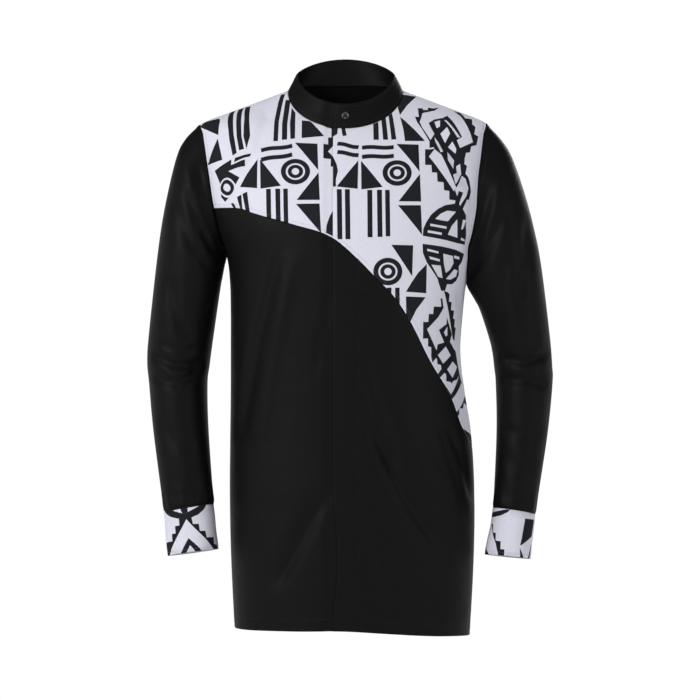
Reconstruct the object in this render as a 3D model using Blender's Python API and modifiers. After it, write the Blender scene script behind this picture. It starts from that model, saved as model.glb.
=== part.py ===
"""A man's long-sleeved tunic shirt in its worn, hollow form: black body and sleeves, printed chest panels,
back yoke and cuffs, a stand collar and a concealed front placket.

The wearer faces -Y, +X is the wearer's left, and the origin is the middle of the neck, level with the
high points of the shoulders. Each sewn piece is one object: a sheet laid on the garment's form, with a wall
grown inwards by Solidify. Metres.
"""

import math

import bpy
import numpy as np
from mathutils import Vector
from mathutils.geometry import delaunay_2d_cdt

# Cloth
WALL = 0.0015
BAND_WALL = 0.0022
SEAM_GAP = 0.0003
GRID = 0.037
SEAM_STRIP = 0.003

# Body form: height, half width to the wearer's right and left, depth to the front and to the back
BODY_STATIONS = (
    (0.000, 0.0885, 0.0885, 0.027, 0.052),
    (-0.015, 0.1285, 0.1285, 0.036, 0.060),
    (-0.030, 0.1685, 0.1685, 0.048, 0.068),
    (-0.045, 0.2085, 0.2070, 0.061, 0.076),
    (-0.052, 0.2240, 0.2190, 0.068, 0.079),
    (-0.070, 0.2310, 0.2230, 0.083, 0.087),
    (-0.100, 0.2325, 0.2240, 0.100, 0.097),
    (-0.140, 0.2265, 0.2200, 0.116, 0.107),
    (-0.180, 0.2165, 0.2180, 0.125, 0.113),
    (-0.220, 0.2000, 0.2080, 0.130, 0.117),
    (-0.255, 0.1830, 0.1950, 0.132, 0.119),
    (-0.290, 0.1780, 0.1870, 0.132, 0.119),
    (-0.340, 0.1765, 0.1810, 0.131, 0.118),
    (-0.400, 0.1765, 0.1770, 0.129, 0.116),
    (-0.460, 0.1765, 0.1830, 0.128, 0.115),
    (-0.520, 0.1770, 0.1925, 0.128, 0.117),
    (-0.600, 0.1780, 0.1980, 0.129, 0.120),
    (-0.700, 0.1765, 0.1980, 0.130, 0.122),
    (-0.860, 0.1690, 0.1900, 0.130, 0.123),
)
ROUNDNESS = 2.2
CHEST_LEVEL = -0.270
BACK_NECK_RISE = 0.013
BACK_NECK_REACH = 0.050
BACK_RISE_FADE = 0.080

# Neck, armholes, seams and hem: (x, z) as seen from the front
NECK_HALF_WIDTH = 0.0885
NECK_DROP = 0.064
SHOULDER_TIP = {-1: -0.0515, 1: -0.0490}
ARMPIT = {-1: -0.2550, 1: -0.2960}
ARMHOLE_DIP = 0.21
ARMHOLE_STEPS = 10
DIAGONAL_STEP = 6
YOKE_STEP = 4
PLACKET_HALF = 0.0185
PLACKET_BOW = 0.0070
LAP_COLUMN = 0.5
UNDERLAP_SINK = 0.0027
UNDERLAP_SHORT = 0.001
DIAGONAL_SEAM = (
    (-0.1910, -0.184),
    (-0.1550, -0.187),
    (-0.1430, -0.192),
    (-0.0800, -0.211),
    (-0.0190, -0.232),
    (0.0180, -0.263),
    (0.0455, -0.291),
    (0.0765, -0.324),
    (0.0985, -0.358),
    (0.1270, -0.414),
    (0.1630, -0.476),
    (0.1760, -0.512),
    (0.1950, -0.545),
    (0.2050, -0.565),
)
HEM = ((-0.175, -0.825), (-0.060, -0.820), (0.0, -0.819), (0.080, -0.827), (0.192, -0.838))
BACK_HEM_LEVEL = -0.832

# Sleeves: outer point, inner point, half depth and how far forward, from the armhole to the cuff
SLEEVE_STATIONS = {
    -1: (
        ((-0.2240, -0.0515), (-0.1830, -0.2550), 0.064, 0.000),
        ((-0.2472, -0.0755), (-0.1845, -0.2635), 0.065, 0.001),
        ((-0.2610, -0.1063), (-0.1860, -0.2700), 0.066, 0.002),
        ((-0.2785, -0.1830), (-0.1890, -0.2860), 0.067, 0.002),
        ((-0.2895, -0.2556), (-0.1930, -0.3080), 0.066, 0.001),
        ((-0.3026, -0.3711), (-0.2044, -0.3850), 0.062, -0.004),
        ((-0.3057, -0.4158), (-0.2094, -0.4220), 0.060, -0.006),
        ((-0.3026, -0.4512), (-0.2125, -0.4500), 0.057, -0.004),
        ((-0.2950, -0.5260), (-0.2105, -0.5190), 0.050, 0.006),
        ((-0.2784, -0.6453), (-0.2012, -0.6354), 0.038, 0.024),
        ((-0.2717, -0.7134), (-0.1931, -0.7027), 0.036, 0.034),
    ),
    1: (
        ((0.2175, -0.0490), (0.1860, -0.2960), 0.064, 0.000),
        ((0.2410, -0.0755), (0.1885, -0.3040), 0.065, 0.001),
        ((0.2580, -0.1063), (0.1915, -0.3095), 0.066, 0.002),
        ((0.2815, -0.1780), (0.1990, -0.3220), 0.067, 0.002),
        ((0.2991, -0.2556), (0.2080, -0.3400), 0.066, 0.001),
        ((0.3142, -0.3711), (0.2240, -0.3900), 0.062, -0.004),
        ((0.3188, -0.4235), (0.2295, -0.4260), 0.059, -0.006),
        ((0.3191, -0.4512), (0.2318, -0.4540), 0.056, -0.004),
        ((0.3105, -0.5300), (0.2322, -0.5290), 0.049, 0.006),
        ((0.2909, -0.6507), (0.2251, -0.6407), 0.037, 0.024),
        ((0.2833, -0.7180), (0.2123, -0.7111), 0.035, 0.034),
    ),
}
CUFF_START = 9
RINGS_PER_STATION = (1, 1, 1, 2, 4, 1, 1, 3, 3)
CUFF_RINGS = 3
FORWARD_TILT = 0.10
SEAM_TURN = 0.004

# Collar: half widths, depths and heights of its lower and upper edge, by the turn from the centre front
COLLAR_TOP_HALF = 0.0755
COLLAR_TOP_FRONT = 0.071
COLLAR_TOP_BACK = 0.054
COLLAR_SIDE_HEIGHT = 0.026
COLLAR_FRONT_DROP = 0.0525
COLLAR_BACK_RISE = 0.0285
NECK_STEP = math.radians(7.5)
COLLAR_ROWS = 3
COLLAR_LAP = 0.0030
BUTTON_RADIUS = 0.0057
BUTTON_THICKNESS = 0.0026
BUTTON_DOWN = 0.50

# Largest folds: face, from, to (x, z as seen from the front), depth (+ out, - in) and half width
BODY_FOLDS = (
    (-1, (-0.100, -0.230), (-0.165, -0.560), -0.0040, 0.016),
    (-1, (-0.078, -0.235), (-0.138, -0.560), 0.0040, 0.020),
    (-1, (0.022, -0.400), (0.080, -0.600), -0.0035, 0.014),
    (-1, (0.030, -0.490), (0.140, -0.700), -0.0040, 0.016),
    (-1, (0.060, -0.470), (0.165, -0.640), 0.0035, 0.018),
    (-1, (-0.030, -0.600), (-0.115, -0.765), -0.0040, 0.016),
    (1, (-0.070, -0.240), (-0.120, -0.600), -0.0050, 0.020),
    (1, (0.075, -0.250), (0.110, -0.620), -0.0050, 0.020),
    (1, (0.000, -0.420), (0.010, -0.780), 0.0050, 0.028),
)
FOLD_EDGE = 0.060

BLACK_CLOTH = ((0.010, 0.010, 0.011, 1.0), 0.72, "black_poplin")
PRINT_CLOTH = ((0.700, 0.700, 0.760, 1.0), 0.62, "print_poplin")
BUTTON_RESIN = ((0.012, 0.012, 0.014, 1.0), 0.18, "button_resin")


def smooth(x, stations, values):
    """A smooth curve through hand-set stations, level past its ends."""
    order = np.argsort(stations)
    xs = np.asarray(stations, float)[order]
    ys = np.asarray(values, float)[order]
    rises = np.diff(ys) / np.diff(xs)
    slopes = np.concatenate([rises[:1], (rises[1:] + rises[:-1]) / 2, rises[-1:]])
    x = np.clip(x, xs[0], xs[-1])
    i = np.clip(np.searchsorted(xs, x) - 1, 0, len(xs) - 2)
    h = xs[i + 1] - xs[i]
    u = (x - xs[i]) / h
    start = (1 + 2 * u) * (1 - u) ** 2 * ys[i] + u * (1 - u) ** 2 * h * slopes[i]
    end = u**2 * (3 - 2 * u) * ys[i + 1] + u**2 * (u - 1) * h * slopes[i + 1]
    return start + end


def ease(x):
    x = np.clip(x, 0.0, 1.0)
    return x * x * (3 - 2 * x)


def ring_tables():
    """Quarter rings of half width 1 by depth and by share of their length: length, across, deep."""
    ratios = np.linspace(0.04, 1.0, 97)
    shares = np.linspace(0.0, 1.0, 129)
    turn = np.linspace(0.0, math.pi / 2, 1501)
    across = np.sin(turn) ** (2 / ROUNDNESS)
    deep = np.cos(turn) ** (2 / ROUNDNESS)
    lengths, xs, ys = [], [], []
    for ratio in ratios:
        steps = np.hypot(np.diff(across), ratio * np.diff(deep))
        run = np.concatenate([[0.0], np.cumsum(steps)])
        lengths.append(run[-1])
        xs.append(np.interp(shares, run / run[-1], across))
        ys.append(np.interp(shares, run / run[-1], deep))
    return ratios, np.array(lengths), np.array(xs), np.array(ys)


RATIOS, LENGTHS, ACROSS, DEEP = ring_tables()
STATION_COLUMNS = np.array(BODY_STATIONS).T
HEIGHTS = STATION_COLUMNS[0]
GRAIN_LEVELS = HEIGHTS[-1] * np.linspace(1, 0, 260) ** 1.6


def half_width(side, z):
    return np.where(side < 0, smooth(z, HEIGHTS, STATION_COLUMNS[1]), smooth(z, HEIGHTS, STATION_COLUMNS[2]))


def depth(face, z):
    return smooth(z, HEIGHTS, STATION_COLUMNS[3 if face < 0 else 4])


def side_length(side, face, z):
    """Cloth across the body from the centre line to the side or the shoulder ridge."""
    width = half_width(side, z)
    return width * np.interp(depth(face, z) / width, RATIOS, LENGTHS)


def from_table(table, ratio, share):
    row = np.clip((ratio - RATIOS[0]) / (RATIOS[1] - RATIOS[0]), 0, len(RATIOS) - 1.001)
    column = np.clip(share * (table.shape[1] - 1), 0, table.shape[1] - 1.001)
    i, j = row.astype(int), column.astype(int)
    u, v = row - i, column - j
    lower = table[i, j] * (1 - v) + table[i, j + 1] * v
    upper = table[i + 1, j] * (1 - v) + table[i + 1, j + 1] * v
    return lower * (1 - u) + upper * u


def fold_depth(face, x, y, z):
    """How far the largest folds move the cloth out, fading towards the sides."""
    out = np.zeros_like(x)
    for fold_face, start, end, height, half in BODY_FOLDS:
        if fold_face != face:
            continue
        along = np.subtract(end, start)
        reach = np.dot(along, along)
        u = ((x - start[0]) * along[0] + (z - start[1]) * along[1]) / reach
        near = np.clip(u, 0, 1)
        away = np.hypot(x - start[0] - near * along[0], z - start[1] - near * along[1])
        out += height * np.exp(-((away / half) ** 2)) * ease(u * 4) * ease((1 - u) * 4)
    return out * ease(np.abs(y) / FOLD_EDGE)


def body_point(face, s, z, sink=0.0):
    """The body's outer surface, s metres of cloth across from the centre line, at ring height z."""
    s, z = np.broadcast_arrays(np.asarray(s, float), np.asarray(z, float))
    side = np.where(s < 0, -1, 1)
    width = half_width(side, z)
    deep = depth(face, z)
    share = np.clip(np.abs(s) / side_length(side, face, z), 0, 1)
    unit_x = from_table(ACROSS, deep / width, share)
    unit_y = from_table(DEEP, deep / width, share)
    x = side * width * unit_x
    y = face * deep * unit_y
    normal = body_normal(face, side, unit_x, unit_y, z)
    out = fold_depth(face, x, y, z) - sink
    lift = BACK_NECK_RISE * ease(y / BACK_NECK_REACH) * np.exp(z / BACK_RISE_FADE)
    point = np.stack([x, y, z + lift], axis=-1)
    return point + normal * out[..., None]


def body_normal(face, side, unit_x, unit_y, z):
    step = 1e-4
    width, deep = half_width(side, z), depth(face, z)
    width_slope = (half_width(side, z + step) - half_width(side, z - step)) / (2 * step)
    deep_slope = (depth(face, z + step) - depth(face, z - step)) / (2 * step)
    nx = side * unit_x ** (ROUNDNESS - 1) / width
    ny = face * unit_y ** (ROUNDNESS - 1) / deep
    nz = -(unit_x**ROUNDNESS) * width_slope / width - unit_y**ROUNDNESS * deep_slope / deep
    normal = np.stack([nx, ny, nz], axis=-1)
    return normal / np.linalg.norm(normal, axis=-1, keepdims=True)


def grain_line(face, s):
    """Ring heights down one grain line, with the cloth from the chest level up to each."""
    points = body_point(face, np.full(len(GRAIN_LEVELS), s), GRAIN_LEVELS)
    run = np.concatenate([[0.0], np.cumsum(np.linalg.norm(np.diff(points, axis=0), axis=1))])
    return GRAIN_LEVELS, run - np.interp(CHEST_LEVEL, GRAIN_LEVELS, run)


def cloth_height(face, s, z):
    return np.array([np.interp(one_z, *grain_line(face, one_s)) for one_s, one_z in zip(s, z)])


def level_at(face, s, height):
    """Ring heights of flat points, grain line by grain line."""
    levels = []
    for one_s, one_height in zip(s, height):
        line, heights = grain_line(face, one_s)
        levels.append(np.interp(one_height, heights, line))
    return np.array(levels)


def s_at(face, x, z):
    """Cloth from the centre line to the point at x on the ring at height z."""
    side = -1 if x < 0 else 1
    z = np.asarray(z, float)
    length = float(side_length(side, face, z))
    tries = np.linspace(0, length, 400)
    xs = np.abs(body_point(face, side * tries, np.full(400, float(z)))[:, 0])
    return side * float(np.interp(abs(x), np.maximum.accumulate(xs), tries))


def edge_s(side, face, z):
    """The side seam or the shoulder seam, half a seam gap short of the line it shares."""
    return side * (float(side_length(side, face, np.asarray(z, float))) - SEAM_GAP / 2)


def spread(start, end, step=GRID):
    return np.linspace(start, end, max(2, round(abs(end - start) / step) + 1))


def shoulder_seam(side, face):
    return [(edge_s(side, face, z), z) for z in np.linspace(0.0, SHOULDER_TIP[side], 6)]


def armhole_levels(side):
    turns = np.linspace(0, math.pi, ARMHOLE_STEPS + 1)
    return SHOULDER_TIP[side] + (ARMPIT[side] - SHOULDER_TIP[side]) * (1 - np.cos(turns)) / 2


def armhole(side, face):
    turns = np.linspace(0, math.pi, ARMHOLE_STEPS + 1)
    points = []
    for turn, z in zip(turns, armhole_levels(side)):
        share = 1 - ARMHOLE_DIP * math.sin(turn) ** 0.8
        points.append((edge_s(side, face, z) * share, z))
    return points


def side_levels(side):
    """Heights down the side seam, the first step short to hold the armpit's corner."""
    below = spread(ARMPIT[side] - 0.010, hem_level(-1, edge_s(side, -1, HEM[-1][1])))
    return np.array([ARMPIT[side], *below])


def side_seam(side, face):
    return [(edge_s(side, face, z), z) for z in side_levels(side)]


def hem_level(face, s):
    """The hem's height; the back meets the front's height at each side."""
    xs = [x for x, _ in HEM]
    zs = [z for _, z in HEM]
    front = float(smooth(np.asarray(s * 0.72), xs, zs))
    if face < 0:
        return front
    full = 0.245
    return BACK_HEM_LEVEL + (front - BACK_HEM_LEVEL) * float(ease(abs(s) / full))


def neck_turns(start, end):
    """Turns about the neck from one to the other, 0 at the centre front, at steps that all its pieces share."""
    low, high = min(start, end), max(start, end)
    steps = np.arange(math.ceil(low / NECK_STEP + 0.1), math.floor(high / NECK_STEP - 0.1) + 1) * NECK_STEP
    turns = [low, *steps, high]
    return turns if start < end else turns[::-1]


def neck_spot(turn):
    """The neckline by its turn: face, s, z."""
    side = -1 if turn < 0 else 1
    turn = abs(turn)
    if turn > math.pi / 2 + 1e-6:
        length = float(side_length(side, 1, np.asarray(0.0)))
        return 1, side * length * 2 * (math.pi - turn) / math.pi, 0.0
    if turn > math.pi / 2 - 1e-6:
        return -1, edge_s(side, -1, 0.0), 0.0
    z = -NECK_DROP * math.cos(turn)
    return -1, s_at(-1, side * NECK_HALF_WIDTH * math.sin(turn), z), z


def diagonal_level(x):
    return float(smooth(np.asarray(x), [p[0] for p in DIAGONAL_SEAM], [p[1] for p in DIAGONAL_SEAM]))


def diagonal_seam(start_x, end_x):
    """The seam between print and black cloth, as (s, z)."""
    return [(s_at(-1, x, diagonal_level(x)), diagonal_level(x)) for x in spread(start_x, end_x, 0.022)]


def placket_edge(z):
    """The free edge of the upper layer, which bows open towards the hem."""
    low = ease((-0.60 - z) / 0.11) * (1 - ease((-0.71 - z) / 0.11))
    return -PLACKET_HALF + PLACKET_BOW * float(low)


def inner_edge(side, z):
    """The left front's free edge, or the right front's edge hidden under it."""
    return placket_edge(z) if side > 0 else PLACKET_HALF - UNDERLAP_SHORT


def shifted(points, by_s=0.0, by_z=0.0):
    return [(s + by_s, z + by_z) for s, z in points]


def flat_points(face, outline):
    s, z = np.array(outline).T
    return np.stack([s, cloth_height(face, s, z)], axis=-1)


def inside(polygon, points):
    x, y = points[:, 0:1], points[:, 1:2]
    a, b = polygon, np.roll(polygon, -1, axis=0)
    spans = (a[:, 1] > y) != (b[:, 1] > y)
    with np.errstate(divide="ignore", invalid="ignore"):
        cross = a[:, 0] + (y - a[:, 1]) / (b[:, 1] - a[:, 1]) * (b[:, 0] - a[:, 0])
    return (spans & (x < cross)).sum(axis=1) % 2 == 1


def away_from(polygon, points):
    a, b = polygon, np.roll(polygon, -1, axis=0)
    along = b - a
    offset = points[:, None, :] - a[None]
    u = np.clip((offset * along).sum(2) / (along**2).sum(1), 0, 1)
    return np.linalg.norm(offset - u[..., None] * along, axis=2).min(axis=1)


def strip_inside(polygon, width):
    """The outline moved in by one width, corner by corner."""
    before = polygon - np.roll(polygon, 1, axis=0)
    after = np.roll(polygon, -1, axis=0) - polygon
    turned = [np.stack([-e[:, 1], e[:, 0]], axis=1) / np.linalg.norm(e, axis=1)[:, None] for e in (before, after)]
    middle = turned[0] + turned[1]
    return polygon + middle * width / np.maximum((middle * turned[0]).sum(1), 0.6)[:, None]


def grid_points(face, flat):
    """Grain-line columns of (s, z) inside the outline, with their flat points."""
    low, high = flat.min(axis=0), flat.max(axis=0)
    found = []
    columns = np.arange(math.ceil(low[0] / GRID), math.floor(high[0] / GRID) + 1)
    for column in [*columns, *((-LAP_COLUMN, LAP_COLUMN) if face < 0 else ())]:
        in_lap = face < 0 and abs(column) <= LAP_COLUMN
        step = GRID / 2 if in_lap else GRID
        start = 0.0 if in_lap or column % 2 == 0 else GRID / 2
        levels, heights = grain_line(face, column * GRID)
        wanted = np.arange(math.ceil(low[1] / step), high[1] / step) * step + start
        z = np.interp(wanted, heights, levels)
        found.extend(zip(np.full(len(wanted), column * GRID), wanted, z))
    found = np.array(found)
    spots = found[:, :2]
    clear = np.where(np.abs(spots[:, 0]) < GRID * (LAP_COLUMN + 0.1), GRID * 0.15, GRID * 0.45)
    keep = inside(flat, spots) & (away_from(flat, spots) > SEAM_STRIP + clear)
    return found[keep]


def material(cloth):
    colour, roughness, name = cloth
    made = bpy.data.materials.get(name)
    if made is None:
        made = bpy.data.materials.new(name)
        made.use_nodes = True
        shader = made.node_tree.nodes["Principled BSDF"]
        shader.inputs["Base Color"].default_value = colour
        shader.inputs["Roughness"].default_value = roughness
        shader.inputs["Metallic"].default_value = 0.0
    return made


def add_object(name, points, faces, cloth, wall, collection):
    """A sheet made one object, with its wall grown inwards."""
    mesh = bpy.data.meshes.new(name)
    mesh.from_pydata([tuple(map(float, p)) for p in points], [], [tuple(map(int, f)) for f in faces])
    mesh.materials.append(material(cloth))
    mesh.shade_smooth()
    made = bpy.data.objects.new(name, mesh)
    collection.objects.link(made)
    if wall:
        shell = made.modifiers.new("cloth wall", "SOLIDIFY")
        shell.thickness = wall
        shell.offset = -1.0
    return made


def add_panel(name, face, outline, cloth, collection, sink=None):
    """A flat-cut panel: its outline and grain grid meshed flat, then laid on the body's form."""
    flat = flat_points(face, outline)
    if np.sum(np.roll(flat[:, 0], -1) * flat[:, 1] - flat[:, 0] * np.roll(flat[:, 1], -1)) > 0:
        flat = flat[::-1]
        outline = outline[::-1]
    strip = strip_inside(flat, SEAM_STRIP)
    kept = inside(flat, strip) & (away_from(flat, strip) > SEAM_STRIP * 0.5)
    strip = strip[kept]
    strip_levels = level_at(face, strip[:, 0], strip[:, 1])
    grid = grid_points(face, flat)
    spots = np.concatenate([flat, strip, grid[:, :2]])
    levels = np.concatenate([[z for _, z in outline], strip_levels, grid[:, 2]])
    ring = [list(range(len(flat)))]
    corners, _, faces, origins, _, _ = delaunay_2d_cdt([Vector(p) for p in spots], [], ring, 1, 1e-7)
    source = [origin[0] for origin in origins]
    s = spots[source, 0]
    z = levels[source]
    sunk = sink(s, z) if sink else np.zeros_like(s)
    points = body_point(face, s, z, sunk)
    used = sorted({v for f in faces for v in f})
    index = {v: i for i, v in enumerate(used)}
    faces = [[index[v] for v in (f if face < 0 else f[::-1])] for f in faces]
    return add_object(name, points[used], faces, cloth, WALL, collection)


def underlap(s, z):
    """The right front dips under the placket's upper layer."""
    return UNDERLAP_SINK * ease((s + PLACKET_HALF + 0.016) / 0.010)


def front_panels(collection):
    """The four front pieces, split by the diagonal seam."""
    half_gap = SEAM_GAP * 0.75
    for side in (-1, 1):
        edge = -1 if side > 0 else 1
        armhole_line = armhole(side, -1)
        seam_side = side_seam(side, -1)
        ends = (inner_edge(side, -0.22), 0.205 if side > 0 else -0.213)
        seam = diagonal_seam(*ends)
        if side > 0:
            last = crossing(seam, seam_side)
            seam = [p for p in seam if p[0] < last[0] - 0.006] + [last]
            lower_side = [p for p in seam_side if p[1] < last[1] - 0.010]
            upper_side = armhole_line + [p for p in seam_side[1:] if p[1] > last[1] + 0.010]
        else:
            last = armhole_line[DIAGONAL_STEP]
            seam = [p for p in seam if p[0] > last[0] + 0.006] + [last]
            lower_side = armhole_line[DIAGONAL_STEP + 1:] + seam_side[1:]
            upper_side = armhole_line[:DIAGONAL_STEP]
        top = [neck_spot(turn)[1:] for turn in neck_turns(edge * lap_turn(), side * math.pi / 2)]
        shoulder = shoulder_seam(side, -1)
        inner_top = [(inner_edge(side, z), z) for z in lap_levels(top[0][1], seam[0][1])]
        upper = top + shoulder[1:] + upper_side[1:] + shifted(seam[::-1], by_z=half_gap) + inner_top[::-1]
        hem_s = spread(inner_edge(side, -0.82), seam_side[-1][0])
        hem = [(s, hem_level(-1, s)) for s in hem_s]
        inner_low = [(inner_edge(side, z), z) for z in lap_levels(seam[0][1], hem[0][1])]
        lower = shifted(seam, by_z=-half_gap) + lower_side + hem[::-1][1:] + inner_low[::-1]
        name = "left" if side > 0 else "right"
        sink = None if side > 0 else underlap
        add_panel(f"front_{name}_print", -1, upper, PRINT_CLOTH, collection, sink)
        add_panel(f"front_{name}_black", -1, lower, BLACK_CLOTH, collection, sink)


def lap_levels(high, low):
    """Heights down the placket that both fronts share, between two ends."""
    levels = -np.arange(1, 60) * GRID / 2
    return levels[(levels < high - 0.004) & (levels > low + 0.004)]


def lap_turn():
    return math.asin(PLACKET_HALF / NECK_HALF_WIDTH)


def crossing(line, edge):
    """Where a seam meets an edge, both as (s, z) lists."""
    for a, b in zip(line, line[1:]):
        for c, d in zip(edge, edge[1:]):
            run, other = np.subtract(b, a), np.subtract(d, c)
            base = run[0] * other[1] - run[1] * other[0]
            gap = np.subtract(c, a)
            u = (gap[0] * other[1] - gap[1] * other[0]) / base
            v = (gap[0] * run[1] - gap[1] * run[0]) / base
            if 0 <= u <= 1 and 0 <= v <= 1:
                return tuple(np.add(c, v * other))
    raise ValueError("the seam doesn't meet the edge")


def back_panels(collection):
    """The printed yoke and the black back below it."""
    right, left = armhole(-1, 1), armhole(1, 1)
    ends = right[YOKE_STEP], left[YOKE_STEP]
    seam_s = spread(ends[0][0], ends[1][0])
    seam = [(s, float(np.interp(s, (ends[0][0], ends[1][0]), (ends[0][1], ends[1][1])))) for s in seam_s]
    half_gap = SEAM_GAP * 0.5
    right_neck = [neck_spot(turn)[1:] for turn in neck_turns(-math.pi / 2, -math.pi)[1:]]
    neck = [(-s, 0.0) for s, _ in right_neck[::-1]]
    neck = [(edge_s(-1, 1, 0.0), 0.0)] + right_neck + neck[1:] + [(edge_s(1, 1, 0.0), 0.0)]
    yoke = (neck + shoulder_seam(1, 1)[1:] + left[1:YOKE_STEP] + shifted(seam[::-1], by_z=half_gap)
            + right[YOKE_STEP - 1:0:-1] + shoulder_seam(-1, 1)[:0:-1])
    hem_s = spread(edge_s(-1, 1, side_levels(-1)[-1]), edge_s(1, 1, side_levels(1)[-1]))
    hem = [(s, hem_level(1, s)) for s in hem_s[1:-1]]
    lower = (shifted(seam, by_z=-half_gap) + left[YOKE_STEP + 1:] + side_seam(1, 1)[1:]
             + hem[::-1] + side_seam(-1, 1)[:0:-1] + right[:YOKE_STEP:-1])
    add_panel("back_yoke_print", 1, yoke, PRINT_CLOTH, collection)
    add_panel("back_black", 1, lower, BLACK_CLOTH, collection)


def sleeve_ring(side, place, turns):
    """One ring of a sleeve: turn 0 is its outer line, a quarter turn its front, half a turn its inner line."""
    stations = SLEEVE_STATIONS[side]
    at = np.arange(len(stations))
    rows = np.array([(*outer, *inner, half, forward) for outer, inner, half, forward in stations]).T
    ox, oz, ix, iz, half, forward = (float(smooth(np.asarray(place), at, row)) for row in rows)
    x = (ox + ix) / 2 + (ox - ix) / 2 * np.cos(turns)
    tip = FORWARD_TILT * half * float(ease(np.asarray(place / CUFF_START)))
    z = (oz + iz) / 2 + (oz - iz) / 2 * np.cos(turns) + tip * np.sin(turns)
    y = -forward - half * np.sin(turns)
    return np.stack([x, y, z], axis=-1)


def armhole_loop(side):
    """The armhole seam as points on the body, from the shoulder round the front to the armpit and back."""
    front = np.array(armhole(side, -1))
    back = np.array(armhole(side, 1))
    around = body_point(-1, front[:, 0], front[:, 1])
    behind = body_point(1, back[:, 0], back[:, 1])
    loop = np.concatenate([around, behind[-2:0:-1]])
    loop[0, 1] = 0.0
    loop[ARMHOLE_STEPS, 1] = 0.0
    return loop


def loop_outward(side, loop):
    """Across the seam, on from the body's own surface."""
    front = np.array(armhole(side, -1))
    back = np.array(armhole(side, 1))
    away = []
    for face, line in ((-1, front), (1, back[-2:0:-1])):
        z = line[:, 1]
        share = np.abs(line[:, 0]) / side_length(side, face, z)
        ratio = depth(face, z) / half_width(side, z)
        unit_x = from_table(ACROSS, ratio, share)
        unit_y = from_table(DEEP, ratio, share)
        away.append(body_normal(face, np.full(len(z), side), unit_x, unit_y, z))
    normals = np.concatenate(away)
    along = np.roll(loop, -1, axis=0) - np.roll(loop, 1, axis=0)
    outward = np.cross(normals, along) * side
    return outward / np.linalg.norm(outward, axis=1, keepdims=True)


def sleeve_places():
    places = [0.0]
    for station, count in enumerate(RINGS_PER_STATION):
        places += [station + (k + 1) / count for k in range(count)]
    return places


def tube_faces(rings, turns, flip):
    faces = []
    for r in range(rings - 1):
        for k in range(turns):
            n = (k + 1) % turns
            face = (r * turns + k, r * turns + n, (r + 1) * turns + n, (r + 1) * turns + k)
            faces.append(face[::-1] if flip else face)
    return faces


def add_sleeve(side, collection):
    """A sleeve from the armhole seam, which it leaves along the body's surface, down to the cuff."""
    count = 2 * ARMHOLE_STEPS
    turns = np.linspace(0, 2 * math.pi, count, endpoint=False)
    loop = armhole_loop(side)
    outward = loop_outward(side, loop)
    first = sleeve_ring(side, 0.0, turns)
    over = np.maximum(np.cos(turns), 0.0)[:, None]
    onward = sleeve_ring(side, 0.35, turns) - first
    onward /= np.linalg.norm(onward, axis=1, keepdims=True)
    leave = outward * over + onward * (1 - over)
    leave /= np.linalg.norm(leave, axis=1, keepdims=True)
    rings = [loop + leave * SEAM_GAP, loop + leave * SEAM_TURN]
    for place in sleeve_places()[1:]:
        ring = sleeve_ring(side, place, turns)
        keep = (1 - ease(np.asarray(place / 3.0))) ** 2
        rings.append(ring + (loop - first) * keep)
    last = rings[-1]
    rings[-1] = last + (rings[-2] - last) * SEAM_GAP / np.linalg.norm(rings[-2] - last, axis=1, keepdims=True)
    name = "sleeve_left" if side > 0 else "sleeve_right"
    faces = tube_faces(len(rings), count, side < 0)
    add_object(name, np.concatenate(rings), faces, BLACK_CLOTH, WALL, collection)


def add_cuff(side, collection):
    turns = np.linspace(0, 2 * math.pi, 2 * ARMHOLE_STEPS, endpoint=False)
    places = np.linspace(CUFF_START, CUFF_START + 1, CUFF_RINGS)
    rings = [sleeve_ring(side, place, turns) for place in places]
    name = "cuff_left" if side > 0 else "cuff_right"
    faces = tube_faces(len(rings), len(turns), side < 0)
    add_object(name, np.concatenate(rings), faces, PRINT_CLOTH, BAND_WALL, collection)


def collar_base(turn):
    """The neck seam by its turn from the centre front, a little above the body's edge."""
    return body_point(*neck_spot(turn)) + np.array([0.0, 0.0, SEAM_GAP])


def collar_top(turn):
    at_front = math.cos(turn) > 0
    deep = COLLAR_TOP_FRONT if at_front else COLLAR_TOP_BACK
    if at_front:
        z = COLLAR_SIDE_HEIGHT - COLLAR_FRONT_DROP * math.cos(turn) ** 1.15
    else:
        z = COLLAR_SIDE_HEIGHT + COLLAR_BACK_RISE * (-math.cos(turn)) ** 1.4
    return np.array([COLLAR_TOP_HALF * math.sin(turn), -deep * math.cos(turn), z])


def collar_point(turn, up, out=0.0):
    low, high = collar_base(turn), collar_top(turn)
    point = low + (high - low) * up
    sideways = np.array([math.sin(turn), -math.cos(turn), 0.0])
    return point + sideways * out


def add_collar(collection):
    """The band goes once round the neck, and its right end runs on under its left end."""
    lap = lap_turn()
    turns = neck_turns(-lap, 2 * math.pi + lap)
    points, faces = [], []
    for up in np.linspace(0, 1, COLLAR_ROWS + 1):
        for turn in turns:
            wrapped = turn if turn <= math.pi else turn - 2 * math.pi
            under = float(ease((turn - 2 * math.pi + 2.4 * lap) / (1.2 * lap)))
            points.append(collar_point(wrapped, up, -COLLAR_LAP * under))
    row = len(turns)
    for r in range(COLLAR_ROWS):
        for k in range(row - 1):
            faces.append((r * row + k, r * row + k + 1, (r + 1) * row + k + 1, (r + 1) * row + k))
    add_object("collar_band", points, faces, BLACK_CLOTH, BAND_WALL, collection)


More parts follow.
